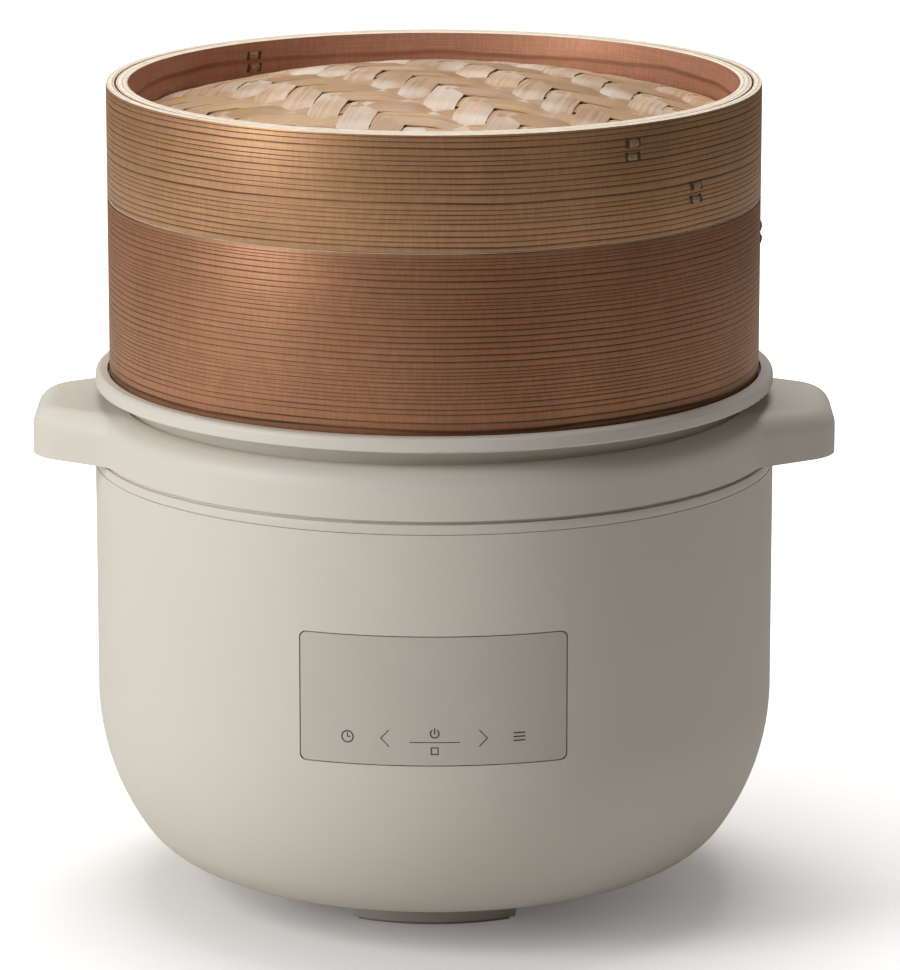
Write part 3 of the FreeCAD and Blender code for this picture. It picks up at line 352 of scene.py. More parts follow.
# %% [markdown]
# A hoop is a turned shape: the corners of its section are spun once about the upright axis. Sawn
# edges are eased with sandpaper, so a bevel rounds them here. The finished mesh gets its finish
# face by face: outside, inside and rim.

# %% Helpers for turned pieces
HOOP_STEPS = 256
EASE = 0.0006
EASE_ABOVE = math.radians(40)
SMOOTH_BELOW = 35.0
SAME_PLACE = 1e-6
RIM_SLOPE = 0.6


def radii(node):
    """Smallest and largest distance of a node's points from the axis."""
    lengths = [math.hypot(v.co.x, v.co.y) for v in nodes[node].data.vertices]
    return min(lengths), max(lengths)


def to_object(bm, name, materials, body):
    """Closes the bmesh into an object that rides on a body."""
    mesh = bpy.data.meshes.new(name)
    bm.to_mesh(mesh)
    bm.free()
    for material in materials:
        mesh.materials.append(material)
    piece = bpy.data.objects.new(name, mesh)
    bpy.context.scene.collection.objects.link(piece)
    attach(piece, body)
    return piece


def move_into(whole, made):
    """Adds one bmesh to another and frees it."""
    mesh = bpy.data.meshes.new("scratch")
    made.to_mesh(mesh)
    made.free()
    whole.from_mesh(mesh)
    bpy.data.meshes.remove(mesh)


def smooth_by_angle(bm, degrees=SMOOTH_BELOW):
    """Smooth faces with sharp edges where the surface turns by more than the angle."""
    limit = math.radians(degrees)
    for face in bm.faces:
        face.smooth = True
    for edge in bm.edges:
        edge.smooth = len(edge.link_faces) == 2 and edge.calc_face_angle(0) < limit


def turned(corners, ease=EASE):
    """Spins a closed section, given as (radius, height), and eases its edges."""
    bm = bmesh.new()
    points = [bm.verts.new((radius, 0, height)) for radius, height in corners]
    edges = [bm.edges.new((points[i - 1], points[i])) for i in range(len(points))]
    bmesh.ops.spin(bm, geom=points + edges, cent=(0, 0, 0), axis=(0, 0, 1), angle=math.tau,
                   steps=HOOP_STEPS, use_merge=True, use_duplicate=False)
    bmesh.ops.remove_doubles(bm, verts=bm.verts, dist=SAME_PLACE)
    bmesh.ops.recalc_face_normals(bm, faces=bm.faces)
    sharp = [edge for edge in bm.edges
             if len(edge.link_faces) == 2 and edge.calc_face_angle(0) > EASE_ABOVE]
    bmesh.ops.bevel(bm, geom=sharp, offset=ease, segments=2, profile=0.5, affect="EDGES",
                    material=-1)
    smooth_by_angle(bm)
    return bm


def hoop(node, body, outside, inside, rim):
    """Bent strip with three finishes: outside, inside and rim."""
    low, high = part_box(node)
    inner, outer = radii(node)
    bm = turned([(inner, low.z), (outer, low.z), (outer, high.z), (inner, high.z)])
    middle = (inner + outer) / 2
    for face in bm.faces:
        centre = face.calc_center_median()
        if abs(face.normal.z) > RIM_SLOPE:
            face.material_index = 2
        elif math.hypot(centre.x, centre.y) < middle:
            face.material_index = 1
    piece = to_object(bm, node + "_wood", [outside, inside, rim], body)
    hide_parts(node)
    return piece


# %% Hoops
hoop("lid_outer_hoop", "lid", lid_wood, inner_wood, rim_wood)
hoop("lid_inner_hoop", "lid", inner_wood, inner_wood, rim_wood)
hoop("basket_outer_hoop", "basket", basket_wood, inner_wood, rim_wood)
hoop("basket_inner_hoop", "basket", inner_wood, inner_wood, rim_wood)

# %% [markdown]
# The lid is woven from flat strips of split bamboo, pressed into a shallow dome. Split bamboo has
# long fibres along the strip, and no two strips are of one tone, so the finish reads the strip's
# own coordinates and its own tone. Pale patches mixed into the colour are a painted sheen: a
# painted highlight of the waxy skin side, faint on the strips across and strong on the strips
# along.

# %% Bamboo finish
SPLIT_STRETCH = (14, 900, 1)
STRIP_SHADE = [(0.0, (0.80, 0.74, 0.66)), (0.5, (1.0, 0.98, 0.95)), (1.0, (1.16, 1.15, 1.14))]
PAINTED_SHEEN_COLOUR = (0.72, 0.66, 0.60)
PAINTED_SHEEN_SCALE = 30.0
SKIN_ROUGHNESS = [(0.3, 0.36), (0.7, 0.55)]
SPLIT_BUMP = 0.35
SPLIT_DEPTH = 0.00025


def bamboo_finish(name, light, deep, painted_sheen_amount):
    material, tree, shader = new_material(name, light, roughness=0.5)
    along = add_node(tree, "ShaderNodeUVMap", uv_map="UVMap").outputs["UV"]
    fibre = noise_node(tree, stretched(tree, along, SPLIT_STRETCH), scale=1.0, detail=4.0,
                       roughness=0.6)
    grain = ramp_node(tree, fibre, [(0.32, deep), (0.62, light)])
    tone = add_node(tree, "ShaderNodeAttribute", attribute_name="strip_tone").outputs["Fac"]
    shade = ramp_node(tree, tone, STRIP_SHADE)
    colour = mix_colour(tree, 1.0, grain, shade, "MULTIPLY")
    # Painted sheen: pale patches mixed into the base colour as a painted highlight.
    painted_sheen = ramp_node(tree, noise_node(tree, along, PAINTED_SHEEN_SCALE), [(0.45, 0.0), (0.7, painted_sheen_amount)])
    colour = mix_colour(tree, painted_sheen, colour, PAINTED_SHEEN_COLOUR)
    link(tree, colour, shader.inputs["Base Color"])
    link(tree, bump_node(tree, fibre, SPLIT_BUMP, SPLIT_DEPTH), shader.inputs["Normal"])
    link(tree, ramp_node(tree, fibre, SKIN_ROUGHNESS), shader.inputs["Roughness"])
    return material


bamboo_across = bamboo_finish("bamboo_across", light=(0.52, 0.33, 0.18), deep=(0.38, 0.22, 0.11),
                              painted_sheen_amount=0.15)
bamboo_along = bamboo_finish("bamboo_along", light=(0.55, 0.38, 0.245), deep=(0.40, 0.25, 0.14),
                             painted_sheen_amount=0.7)
print("bamboos:", bamboo_across.name, bamboo_along.name)

# %% [markdown]
# The weave is a twill, two over and two under. Each strip is a thin grid laid over the dome. Where
# it crosses another strip it rises or dips by a set lift, and between crossings it eases from one
# to the other. Real strips are not quite equal, so each one gets a small shift, width and tone of
# its own. A second layer, turned by an eighth of a circle, closes the gaps from below.

# %% Woven lid
WEAVE_PITCH = 0.0122
WEAVE_GAP = 0.0007
WEAVE_LIFT = 0.00062
TWILL_REPEAT = 4
TWILL_OVER = 2
WEAVE_TURN = math.radians(-13.0)
UNDER_TURN = math.radians(45)
TOP_DROP = 0.0011
UNDER_DROP = 0.0030
TOP_SEED = 7
UNDER_SEED = 11
STRIP_THICKNESS = 0.00045
STRIP_CROWN = 0.00022
STRIP_DRIFT = 0.0005
NARROWEST = 0.93
STRIP_SMOOTH = 40.0
GRAIN_SHIFT = 5
STEPS_PER_PITCH = 6
FEWEST_STEPS = 4
STEPS_ACROSS = 4
LEAST_SQUARE = 1e-8
EASE_START = 0.22
EASE_SPAN = 0.56
MAT_EDGE = 0.0003
MAT_THICK = 0.0024
MAT_LIMIT = radii("lid_mat")[1] - MAT_EDGE
MAT_LOW, MAT_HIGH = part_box("lid_mat")
MAT_RISE = (MAT_HIGH.z - MAT_LOW.z) - MAT_THICK
DOME_RADIUS = (MAT_LIMIT ** 2 + MAT_RISE ** 2) / (2 * MAT_RISE)


def dome_height(distance):
    return MAT_HIGH.z - DOME_RADIUS + math.sqrt(DOME_RADIUS ** 2 - distance ** 2)


def goes_over(strip, crossing):
    return 1.0 if (strip - crossing) % TWILL_REPEAT < TWILL_OVER else -1.0


def ease_step(share):
    share = min(max((share - EASE_START) / EASE_SPAN, 0.0), 1.0)
    return share * share * (3 - 2 * share)


def weave_lift(strip, position, sign):
    """Height of a strip over the middle of the weave at a position along it, in pitches."""
    before = math.floor(position)
    share = ease_step(position - before)
    first = goes_over(strip, before) if sign > 0 else -goes_over(before, strip)
    second = goes_over(strip, before + 1) if sign > 0 else -goes_over(before + 1, strip)
    return WEAVE_LIFT * (first * (1 - share) + second * share)


def strip_mesh(index, sign, drop, rng):
    """One strip along X, laid on the dome; sign tells the two directions apart."""
    offset = index * WEAVE_PITCH
    half = (WEAVE_PITCH - WEAVE_GAP) / 2 * rng.uniform(NARROWEST, 1.0)
    reach = math.sqrt(max(MAT_LIMIT ** 2 - offset ** 2, 0.0))
    steps = max(int(reach * 2 / WEAVE_PITCH * STEPS_PER_PITCH), FEWEST_STEPS)
    bm = bmesh.new()
    bmesh.ops.create_grid(bm, x_segments=steps, y_segments=STEPS_ACROSS, size=1.0)
    uv = bm.loops.layers.uv.new("UVMap")
    tone = bm.verts.layers.float.new("strip_tone")
    tone_value = rng.random()
    drift = rng.uniform(-STRIP_DRIFT, STRIP_DRIFT)
    seed = rng.uniform(0, GRAIN_SHIFT)
    for vert in bm.verts:
        across = vert.co.y
        side = offset + across * half + drift
        chord = math.sqrt(max(MAT_LIMIT ** 2 - side ** 2, LEAST_SQUARE))
        along = vert.co.x * chord
        lift = weave_lift(index, along / WEAVE_PITCH, sign)
        crown = STRIP_CROWN * (1 - across * across)
        vert[tone] = tone_value
        vert.co = (along, side, dome_height(math.hypot(along, side)) - drop + lift + crown)
    for face in bm.faces:
        for loop in face.loops:
            loop[uv].uv = (loop.vert.co.x + seed, loop.vert.co.y)
    bmesh.ops.recalc_face_normals(bm, faces=bm.faces)
    if sum(face.normal.z for face in bm.faces) < 0:
        bmesh.ops.reverse_faces(bm, faces=bm.faces)
    bmesh.ops.solidify(bm, geom=bm.faces[:], thickness=STRIP_THICKNESS)
    return bm


def woven_layer(name, turn, drop, seed):
    """Both sets of strips as two pieces, turned about the axis by an angle."""
    rng = random.Random(seed)
    count = int(MAT_LIMIT / WEAVE_PITCH)
    for sign, quarter, material, direction in ((1, 0.0, bamboo_across, "across"),
                                               (-1, math.pi / 2, bamboo_along, "along")):
        placing = Matrix.Rotation(turn + quarter, 4, "Z") @ Matrix.Diagonal((1, -sign, 1, 1))
        collected = bmesh.new()
        for index in range(-count, count + 1):
            strip = strip_mesh(index, sign, drop, rng)
            strip.transform(placing)
            bmesh.ops.recalc_face_normals(strip, faces=strip.faces)
            move_into(collected, strip)
        smooth_by_angle(collected, STRIP_SMOOTH)
        piece = to_object(collected, name + "_" + direction, [material], "lid")
        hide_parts("lid_mat")
        print(piece.name, len(piece.data.polygons), "faces")


woven_layer("lid_weave_top", WEAVE_TURN, TOP_DROP, TOP_SEED)
woven_layer("lid_weave_under", WEAVE_TURN + UNDER_TURN, UNDER_DROP, UNDER_SEED)

# %% [markdown]
# Moulded plastic looks flat when it is one colour. The real housing has a fine spark-eroded grain
# and a very slight cloudiness, so one group gives both, and every plastic material uses it.

# %% Group: moulded plastic
CLOUD_SCALE = 11.0
GRAIN_SCALE = 2600.0
GRAIN_DEPTH = 0.00006
GLOSS_SCALE = 60.0
GLOSS_ROUGHNESS = [(0.3, 0.50), (0.7, 0.58)]


def moulded_group():
    inputs = [("Vector", "Vector", None), ("Color", "Color", (0.6, 0.56, 0.5, 1)),
              ("Cloud", "Float", 0.04)]
    outputs = [("Color", "Color"), ("Roughness", "Float"), ("Grain", "Float")]
    tree, enter, leave = new_group("moulded plastic", inputs, outputs)
    place = enter.outputs["Vector"]
    cloud = math_node(tree, "SUBTRACT", noise_node(tree, place, CLOUD_SCALE, detail=3.0), 0.5)
    cloud = math_node(tree, "MULTIPLY", cloud, enter.outputs["Cloud"])
    clouded = add_node(tree, "ShaderNodeVectorMath", operation="SCALE")
    link(tree, enter.outputs["Color"], clouded.inputs[0])
    link(tree, math_node(tree, "ADD", cloud, 1.0), clouded.inputs["Scale"])
    gloss = ramp_node(tree, noise_node(tree, place, GLOSS_SCALE, detail=4.0), GLOSS_ROUGHNESS)
    link(tree, clouded.outputs[0], leave.inputs["Color"])
    link(tree, gloss, leave.inputs["Roughness"])
    link(tree, noise_node(tree, place, GRAIN_SCALE, detail=1.0), leave.inputs["Grain"])
    return tree


moulded = moulded_group()


def plastic_finish(name, colour, cloud, grain):
    material, tree, shader = new_material(name, colour, roughness=0.5)
    group = use_group(tree, moulded, Vector=object_place(tree), Color=(*colour, 1), Cloud=cloud)
    link(tree, group.outputs["Color"], shader.inputs["Base Color"])
    link(tree, group.outputs["Roughness"], shader.inputs["Roughness"])
    bump = bump_node(tree, group.outputs["Grain"], grain, GRAIN_DEPTH)
    link(tree, bump, shader.inputs["Normal"])
    return material


body_plastic = plastic_finish("body_plastic", (0.62, 0.575, 0.50), cloud=0.04, grain=0.25)
panel_plastic = plastic_finish("panel_plastic", (0.525, 0.487, 0.42), cloud=0.05, grain=0.1)
dark_plastic = plastic_finish("dark_plastic", (0.03, 0.03, 0.032), cloud=0.1, grain=0.3)
silicone = plastic_finish("silicone", (0.62, 0.60, 0.56), cloud=0.06, grain=0.3)
pad_rubber = plastic_finish("pad_rubber", (0.34, 0.32, 0.30), cloud=0.1, grain=0.5)
ceramic = plastic_finish("ceramic", (0.75, 0.73, 0.68), cloud=0.06, grain=0.2)
board = plastic_finish("board", (0.03, 0.16, 0.07), cloud=0.15, grain=0.2)
ink = plastic_finish("ink", (0.035, 0.032, 0.03), cloud=0.05, grain=0.05)
print("group:", moulded.name)

# %% [markdown]
# Below the collar runs a fine shadow groove, and the band under it is nearly flush with the belly.
# The band is turned again here with that groove; its tongue inside stays as it is.

# %% Trim band
TONGUE_WIDTH = 0.0024
TONGUE_DROP = 0.0035
TONGUE_RISE = 0.0030
SEAM = 0.00015
GROOVE_HEIGHT = 0.0011
GROOVE_DEPTH = 0.0013
BAND_SET_IN = 0.00012
BAND_EASE = 0.0001


def trim_band():
    low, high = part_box("trim_band")
    inner = radii("trim_band")[0]
    tongue = inner + TONGUE_WIDTH
    outer = radii("body_shell")[1] - BAND_SET_IN
    bottom = low.z + TONGUE_DROP + SEAM
    top = high.z - TONGUE_RISE - SEAM
    corners = [(inner, low.z), (tongue, low.z), (tongue, bottom), (outer, bottom),
               (outer, top - GROOVE_HEIGHT), (outer - GROOVE_DEPTH, top - GROOVE_HEIGHT),
               (outer - GROOVE_DEPTH, top), (tongue, top), (tongue, high.z), (inner, high.z)]
    band = turned(corners, BAND_EASE)
    piece = to_object(band, "trim_band_turned", [body_plastic], "base")
    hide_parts("trim_band")
    return piece


print("band faces:", len(trim_band().data.polygons))

# %% [markdown]
# The metal parts are seen when the pot is lifted: turned steel with fine rings, a cast plate with
# a grainy skin, and brass tabs. One group gives the rings and the smudges.

# %% Group: turned metal
SMUDGE_SCALE = 18.0
SMUDGE_ROUGHNESS = [(0.3, 0.22), (0.75, 0.42)]
RING_DEPTH = 0.00005


def turned_metal_group():
    inputs = [("Vector", "Vector", None), ("Ring scale", "Float", 500.0)]
    outputs = [("Roughness", "Float"), ("Height", "Float")]
    tree, enter, leave = new_group("turned metal", inputs, outputs)
    place = enter.outputs["Vector"]
    rings = noise_along(tree, length_of(tree, place), enter.outputs["Ring scale"])
    rough = ramp_node(tree, noise_node(tree, place, SMUDGE_SCALE, detail=4.0), SMUDGE_ROUGHNESS)
    link(tree, rough, leave.inputs["Roughness"])
    link(tree, rings, leave.inputs["Height"])
    return tree


turned_metal = turned_metal_group()


def metal_finish(name, colour, ring_scale, bump):
    material, tree, shader = new_material(name, colour, roughness=0.3, metallic=1.0)
    group = use_group(tree, turned_metal, Vector=object_place(tree), Ring_scale=ring_scale)
    link(tree, group.outputs["Roughness"], shader.inputs["Roughness"])
    link(tree, bump_node(tree, group.outputs["Height"], bump, RING_DEPTH), shader.inputs["Normal"])
    return material


steel = metal_finish("steel", (0.62, 0.61, 0.59), ring_scale=900.0, bump=0.4)
cast_aluminium = metal_finish("cast_aluminium", (0.56, 0.56, 0.57), ring_scale=2500.0, bump=0.8)
brass = metal_finish("brass", (0.66, 0.48, 0.20), ring_scale=1200.0, bump=0.3)
print("group:", turned_metal.name)

# %% [markdown]
# The floor of the basket and the strips that hold it are straight-grained bamboo without weaving,
# so a plain object-space grain is enough. The stitches are cane; the near-black finish at their
# ends is painted shade that stands for the shadow inside the holes.

# %% Plain bamboo and cane
PALE_BAMBOO = (0.62, 0.46, 0.29)
DEEP_BAMBOO = (0.46, 0.31, 0.17)
EVEN_GRAIN = (300, 300, 300)
FIBRE_BUMP = 0.4


def plain_bamboo(name, stretch, deep=DEEP_BAMBOO, light=PALE_BAMBOO):
    material, tree, shader = new_material(name, light, roughness=0.55)
    place = stretched(tree, object_place(tree), stretch)
    fibre = noise_node(tree, place, scale=1.0, detail=4.0, roughness=0.6)
    colour = ramp_node(tree, fibre, [(0.3, deep), (0.66, light)])
    link(tree, colour, shader.inputs["Base Color"])
    link(tree, bump_node(tree, fibre, FIBRE_BUMP, GROOVED), shader.inputs["Normal"])
    return material


slat_bamboo = plain_bamboo("slat_bamboo", (12, 800, 800))
batten_bamboo = plain_bamboo("batten_bamboo", (800, 12, 800))
strip_bamboo = plain_bamboo("strip_bamboo", (30, 30, 900))
cane = plain_bamboo("cane", EVEN_GRAIN, (0.24, 0.14, 0.07), (0.38, 0.245, 0.13))
# Near-black painted shade for the shadow inside the stitch holes.
painted_hole_shade = plain_bamboo("painted_hole_shade", EVEN_GRAIN, (0.03, 0.015, 0.008), (0.07, 0.038, 0.02))
print("plain bamboos:", slat_bamboo.name, batten_bamboo.name, strip_bamboo.name)

# %% [markdown]
# Every solid of the frame now gets the finish of its material slot. The basket's floor is the one
# place where the grain has to follow the piece, so slats and battens are named by their node.

# %% Finishes of the CAD nodes
SLOT_FINISH = {"body_plastic": body_plastic, "panel_plastic": panel_plastic, "wood": inner_wood,
               "bamboo": strip_bamboo, "cane": batten_bamboo, "steel": steel,
               "cast_aluminium": cast_aluminium, "silicone": silicone, "pad_rubber": pad_rubber,
               "board": board, "dark_plastic": dark_plastic, "brass": brass, "ceramic": ceramic}
NODE_FINISH = {"floor_slats": slat_bamboo, "floor_battens": batten_bamboo}

for part in frame["record"]["subparts"]:
    finish = NODE_FINISH.get(part["node"], SLOT_FINISH[part["material_slot"]])
    mesh = nodes[part["node"]].data
    mesh.materials.clear()
    mesh.materials.append(finish)

# %% [markdown]
# The coil spring under the sensor shortens when the cap is pressed. The coil is wound again here:
# a small circle is spun four times about the axis while it climbs, and the piece gets a mesh of its
# own.

# %% Sensor spring
SPRING_TURNS = 4
SPRING_WIRE = 0.0007
WIRE_SIDES = 10
STEPS_PER_TURN = 40
COIL_SMOOTH = 50


def coil_spring():
    low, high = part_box("sensor_spring")
    length = high.z - low.z
    radius = radii("sensor_spring")[1] - SPRING_WIRE
    steps = SPRING_TURNS * STEPS_PER_TURN
    climb = (length - 2 * SPRING_WIRE) / steps
    start = Matrix.Translation((radius, 0, low.z + SPRING_WIRE))
    upright = start @ Matrix.Rotation(math.pi / 2, 4, "X")
    bm = bmesh.new()
    bmesh.ops.create_circle(bm, segments=WIRE_SIDES, radius=SPRING_WIRE, matrix=upright)
    bmesh.ops.spin(bm, geom=bm.verts[:] + bm.edges[:], cent=(0, 0, 0), axis=(0, 0, 1),
                   dvec=(0, 0, climb), angle=SPRING_TURNS * math.tau, steps=steps,
                   use_duplicate=False)
    bmesh.ops.holes_fill(bm, edges=[edge for edge in bm.edges if edge.is_boundary])
    bmesh.ops.recalc_face_normals(bm, faces=bm.faces)
    smooth_by_angle(bm, COIL_SMOOTH)
    piece = to_object(bm, "sensor_spring_coil", [steel], "base")
    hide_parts("sensor_spring")
    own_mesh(piece)
    return piece


print("spring faces:", len(coil_spring().data.polygons))

# %% [markdown]
# The hoops are sewn with short ends of cane. Each stitch shows as two small bars that come out of
# one pair of holes and go back into another. At each hole sits a small near-black block of painted
# shade, for the shadow inside the hole. A bar is a small block whose edges are bevelled until it is
# nearly round.

# %% Stitches
STITCH_BAR = Vector((0.0013, 0.0040, 0.0021))
HOLE_SHADE_BLOCK = Vector((0.0007, 0.0012, 0.0030))
STITCH_RISE = 0.0022
STITCH_SKEW = 0.0003
STITCH_LEAN = 0.3
HOLE_REACH = 0.0024
BAR_ROUNDING = 0.42
BAR_SMOOTH = 50
CANE_FACE, HOLE_SHADE_FACE = 0, 1
BASKET_SET_IN = 0.0004


def rounded_bar(bm, size, place, tilt, finish):
    """Adds one bar with rounded edges, standing on +X."""
    made = bmesh.new()
    bmesh.ops.create_cube(made, size=1.0)
    bmesh.ops.scale(made, vec=size, verts=made.verts)
    bmesh.ops.bevel(made, geom=made.edges[:], offset=min(size) * BAR_ROUNDING, segments=3,
                    profile=0.5, affect="EDGES", material=-1)
    bmesh.ops.rotate(made, cent=(0, 0, 0), matrix=Matrix.Rotation(tilt, 3, "X"), verts=made.verts)
    bmesh.ops.translate(made, vec=place, verts=made.verts)
    for face in made.faces:
        face.material_index = finish
    move_into(bm, made)


def stitch_piece(node, body, places):
    """All stitches of one hoop; places are (bearing from the front, height, tilt, radius)."""
    whole = bmesh.new()
    for bearing, height, tilt, radius in places:
        one = bmesh.new()
        lean = math.radians(tilt)
        for side in (-1, 1):
            middle = (radius, STITCH_SKEW * side, side * STITCH_RISE)
            rounded_bar(one, STITCH_BAR, middle, lean * side * STITCH_LEAN, CANE_FACE)
            for end in (-1, 1):
                # Each hole is a small block in painted shade.
                hole = (radius, end * HOLE_REACH, side * STITCH_RISE)
                rounded_bar(one, HOLE_SHADE_BLOCK, hole, lean, HOLE_SHADE_FACE)
        one.transform(Matrix.Translation((0, 0, height)))
        one.transform(Matrix.Rotation(math.radians(bearing - 90), 4, "Z"))
        move_into(whole, one)
    smooth_by_angle(whole, BAR_SMOOTH)
    piece = to_object(whole, node + "_cane", [cane, painted_hole_shade], body)
    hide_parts(node)
    print(piece.name, len(places), "stitches")


lid_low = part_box("lid_outer_hoop")[0].z
basket_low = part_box("basket_outer_hoop")[0].z
wood_outer = radii("lid_outer_hoop")[1]
wood_inner = radii("lid_inner_hoop")[0]
stitch_piece("lid_stitches", "lid", [
    (35.6, lid_low + 0.0300, 8, wood_outer), (50.8, lid_low + 0.0125, 24, wood_outer),
    (203, lid_low + 0.0130, 12, wood_outer), (218, lid_low + 0.0315, 12, wood_outer),
    (218, lid_low + 0.0315, 12, wood_inner)])
stitch_piece("basket_stitches", "basket", [
    (90, basket_low + 0.0490, 10, wood_outer), (104, basket_low + 0.0220, 20, wood_outer),
    (267, basket_low + 0.0370, 10, wood_outer - BASKET_SET_IN)])

# %% [markdown]
# The touch panel carries plain printed signs: a clock for the timer, two chevrons, the start and
# stop signs above and below a line, and three bars for the menu. Each sign is a flat shape, drawn
# upright in front of the panel and then wrapped onto the curved wall, a few hundredths of a
# millimetre proud.

# %% Helpers for the signs
MARK_PROUD = 0.00006
MARK_THICKNESS = 0.00008
SAME_POINT = 1e-7
BAR_STEPS = 8
RING_STEPS = 28
FULL_CIRCLE = 360.0
panel_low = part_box("control_panel")[0]
panel_radius = -panel_low.y + MARK_PROUD


def bar(bm, start, end, width):
    """Flat stroke between two points (x, z)."""
    way = Vector((end[0] - start[0], end[1] - start[1]))
    turn = math.atan2(way.y, way.x)
    middle = ((start[0] + end[0]) / 2, (start[1] + end[1]) / 2, 0)
    made = bmesh.ops.create_grid(bm, x_segments=BAR_STEPS, y_segments=1, size=0.5)["verts"]
    bmesh.ops.scale(bm, vec=(way.length + width, width, 1), verts=made)
    bmesh.ops.rotate(bm, cent=(0, 0, 0), matrix=Matrix.Rotation(turn, 3, "Z"), verts=made)
    bmesh.ops.translate(bm, vec=middle, verts=made)


def ring(bm, centre, radius, width, start=0.0, end=FULL_CIRCLE):
    """Flat arc of a ring, as a stroke spun about its centre."""
    inner = bm.verts.new((centre[0] + radius - width / 2, centre[1], 0))
    outer = bm.verts.new((centre[0] + radius + width / 2, centre[1], 0))
    edge = bm.edges.new((inner, outer))
    bmesh.ops.rotate(bm, cent=(*centre, 0), matrix=Matrix.Rotation(math.radians(start), 3, "Z"),
                     verts=[inner, outer])
    bmesh.ops.spin(bm, geom=[inner, outer, edge], cent=(*centre, 0), axis=(0, 0, 1),
                   angle=math.radians(end - start), steps=RING_STEPS,
                   use_merge=end - start >= FULL_CIRCLE, use_duplicate=False)


def wrap_marks(bm):
    """Turns the flat drawing (x, z) onto the panel's curve and gives it its thickness."""
    bmesh.ops.remove_doubles(bm, verts=bm.verts, dist=SAME_POINT)
    for vert in bm.verts:
        angle = vert.co.x / panel_radius
        height = vert.co.y
        vert.co = (panel_radius * math.sin(angle), -panel_radius * math.cos(angle), height)
    bmesh.ops.recalc_face_normals(bm, faces=bm.faces)
    inward = [face for face in bm.faces if face.normal.y > 0]
    bmesh.ops.reverse_faces(bm, faces=inward)
    bmesh.ops.solidify(bm, geom=bm.faces[:], thickness=MARK_THICKNESS)


# %% Signs on the panel
STROKE = 0.00042
THIN_STROKE = STROKE * 0.8
CHEVRON_STROKE = STROKE * 0.7
RULE_STROKE = STROKE * 0.6
SIGNS_LEVEL = 0.0090
CLOCK_AT = -0.0284
CLOCK_SIZE = 0.0019
CLOCK_LONG_HAND = 0.0012
CLOCK_SHORT_HAND = 0.0009
CHEVRONS = ((-1, -0.0159), (1, 0.0163))
CHEVRON_TIP = 0.0014
CHEVRON_TAIL = 0.0012
CHEVRON_RISE = 0.0027
RULE_LEFT = -0.0077
RULE_RIGHT = 0.0085
RULE_DROP = 0.0012
START_STOP_AT = 0.0004
START_RISE = 0.0018
START_SIZE = 0.0014
START_ARC = (125, 415)
START_STROKE = 0.0016
STOP_DROP = 0.0041
STOP_HALF = 0.0011
STOP_SIDES = (((-1, -1), (-1, 1)), ((1, -1), (1, 1)), ((-1, -1), (1, -1)), ((-1, 1), (1, 1)))
MENU_LEFT = 0.0266
MENU_RIGHT = 0.0302
MENU_STEP = 0.0013


def panel_marks():
    bm = bmesh.new()
    level = panel_low.z + SIGNS_LEVEL
    clock = (CLOCK_AT, level)
    ring(bm, clock, CLOCK_SIZE, STROKE)
    bar(bm, clock, (CLOCK_AT, level + CLOCK_LONG_HAND), THIN_STROKE)
    bar(bm, clock, (CLOCK_AT + CLOCK_SHORT_HAND, level), THIN_STROKE)

    for side, x in CHEVRONS:
        tip = (x + side * CHEVRON_TIP, level)
        tail = x - side * CHEVRON_TAIL
        bar(bm, tip, (tail, level + CHEVRON_RISE), CHEVRON_STROKE)
        bar(bm, tip, (tail, level - CHEVRON_RISE), CHEVRON_STROKE)

    bar(bm, (RULE_LEFT, level - RULE_DROP), (RULE_RIGHT, level - RULE_DROP), RULE_STROKE)
    start = (START_STOP_AT, level + START_RISE)
    ring(bm, start, START_SIZE, STROKE, *START_ARC)
    bar(bm, start, (start[0], start[1] + START_STROKE), STROKE)
    stop = (START_STOP_AT, level - STOP_DROP)
    for side in STOP_SIDES:
        ends = [(stop[0] + x * STOP_HALF, stop[1] + z * STOP_HALF) for x, z in side]
        bar(bm, *ends, THIN_STROKE)

    for step in (-1, 0, 1):
        height = level + step * MENU_STEP
        bar(bm, (MENU_LEFT, height), (MENU_RIGHT, height), STROKE)
    wrap_marks(bm)
    return to_object(bm, "panel_marks", [ink], "base")


print("sign faces:", len(panel_marks().data.polygons))

# %% [markdown]
# The stage is a wide pale floor under an even white sky. To the camera, the floor glows more the
# further it is from the steamer, so it fades into the sky and keeps the soft shadow near the feet.
# The sky is white to the camera and through clear parts: what it sheds on the steamer is much
# dimmer, so that the lamps shape the form.

# %% Floor and sky
FLOOR_SIZE = 30.0
FLOOR_COLOUR = (0.80, 0.78, 0.76, 1)
FLOOR_GLOW = [(0.05, 0.10), (0.22, 0.46), (0.50, 1.0)]
SKY_COLOUR = (1.0, 0.965, 0.93, 1)
SKY_LEVEL = 0.125


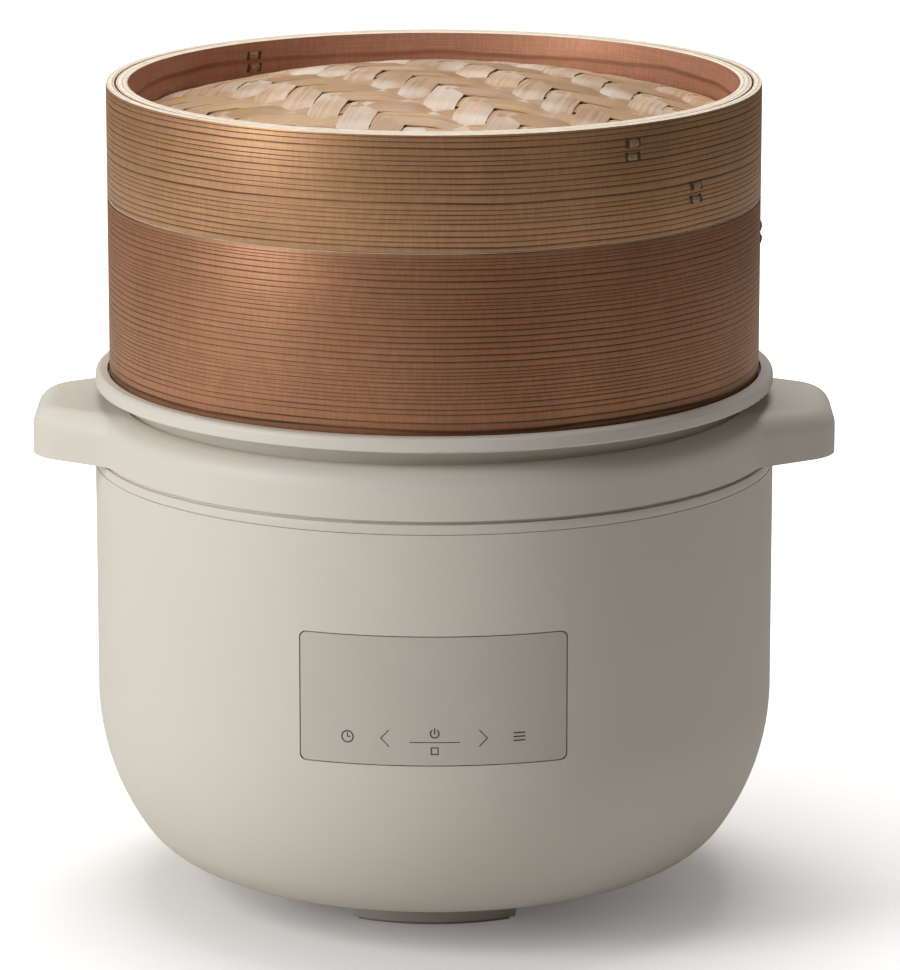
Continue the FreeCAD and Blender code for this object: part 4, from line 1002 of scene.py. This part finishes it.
def floor_finish():
    material = bpy.data.materials.new("floor")
    material.use_nodes = True
    tree = material.node_tree
    tree.nodes.clear()
    diffuse = add_node(tree, "ShaderNodeBsdfDiffuse")
    diffuse.inputs["Color"].default_value = FLOOR_COLOUR
    glow = add_node(tree, "ShaderNodeEmission")
    glow.inputs["Color"].default_value = (1, 1, 1, 1)
    far = ramp_node(tree, length_of(tree, object_place(tree)), FLOOR_GLOW)
    seen = add_node(tree, "ShaderNodeLightPath").outputs["Is Camera Ray"]
    link(tree, math_node(tree, "MULTIPLY", seen, far), glow.inputs["Strength"])
    both = add_node(tree, "ShaderNodeAddShader")
    link(tree, diffuse.outputs[0], both.inputs[0])
    link(tree, glow.outputs[0], both.inputs[1])
    output = add_node(tree, "ShaderNodeOutputMaterial")
    link(tree, both.outputs[0], output.inputs["Surface"])
    return material


def white_sky():
    world = bpy.data.worlds.new("sky")
    world.use_nodes = True
    tree = world.node_tree
    sky = tree.nodes["Background"]
    sky.inputs["Color"].default_value = SKY_COLOUR
    rays = add_node(tree, "ShaderNodeLightPath").outputs
    seen = math_node(tree, "MAXIMUM", rays["Is Camera Ray"], rays["Is Transmission Ray"])
    extra = math_node(tree, "MULTIPLY", seen, 1.0 - SKY_LEVEL)
    link(tree, math_node(tree, "ADD", extra, SKY_LEVEL), sky.inputs["Strength"])
    return world


bm = bmesh.new()
bmesh.ops.create_grid(bm, x_segments=1, y_segments=1, size=FLOOR_SIZE)
floor_mesh = bpy.data.meshes.new("floor")
bm.to_mesh(floor_mesh)
bm.free()
floor_mesh.materials.append(floor_finish())
floor = bpy.data.objects.new("floor", floor_mesh)
bpy.context.scene.collection.objects.link(floor)
bpy.context.scene.world = white_sky()
print("stage:", floor.name, bpy.context.scene.world.name)

# %% [markdown]
# One tall soft lamp stands to the left and in front, as in the photograph, so the right side of
# the housing falls into shade. A wide one hangs above and behind and lights the rim, the woven
# lid and the tops of the grips. The colours are shown as they are, with the plain view transform.

# %% Lamps
def area_lamp(name, place, target, size, power, colour=(1, 1, 1)):
    data = bpy.data.lights.new(name, "AREA")
    data.shape = "RECTANGLE"
    data.size, data.size_y = size
    data.energy = power
    data.color = colour
    lamp = bpy.data.objects.new(name, data)
    lamp.location = place
    direction = Vector(target) - Vector(place)
    lamp.rotation_euler = direction.to_track_quat("-Z", "Y").to_euler()
    bpy.context.scene.collection.objects.link(lamp)


area_lamp("key", place=(-1.05, -0.63, 0.68), target=(0, 0, 0.16), size=(0.45, 0.9), power=12.5,
          colour=(0.98, 1.0, 1.02))
area_lamp("top", place=(0.0, 0.35, 1.6), target=(0, 0, 0.2), size=(1.1, 1.1), power=20)
bpy.context.scene.view_settings.view_transform = "Standard"
print("lamps:", len(bpy.data.lights))
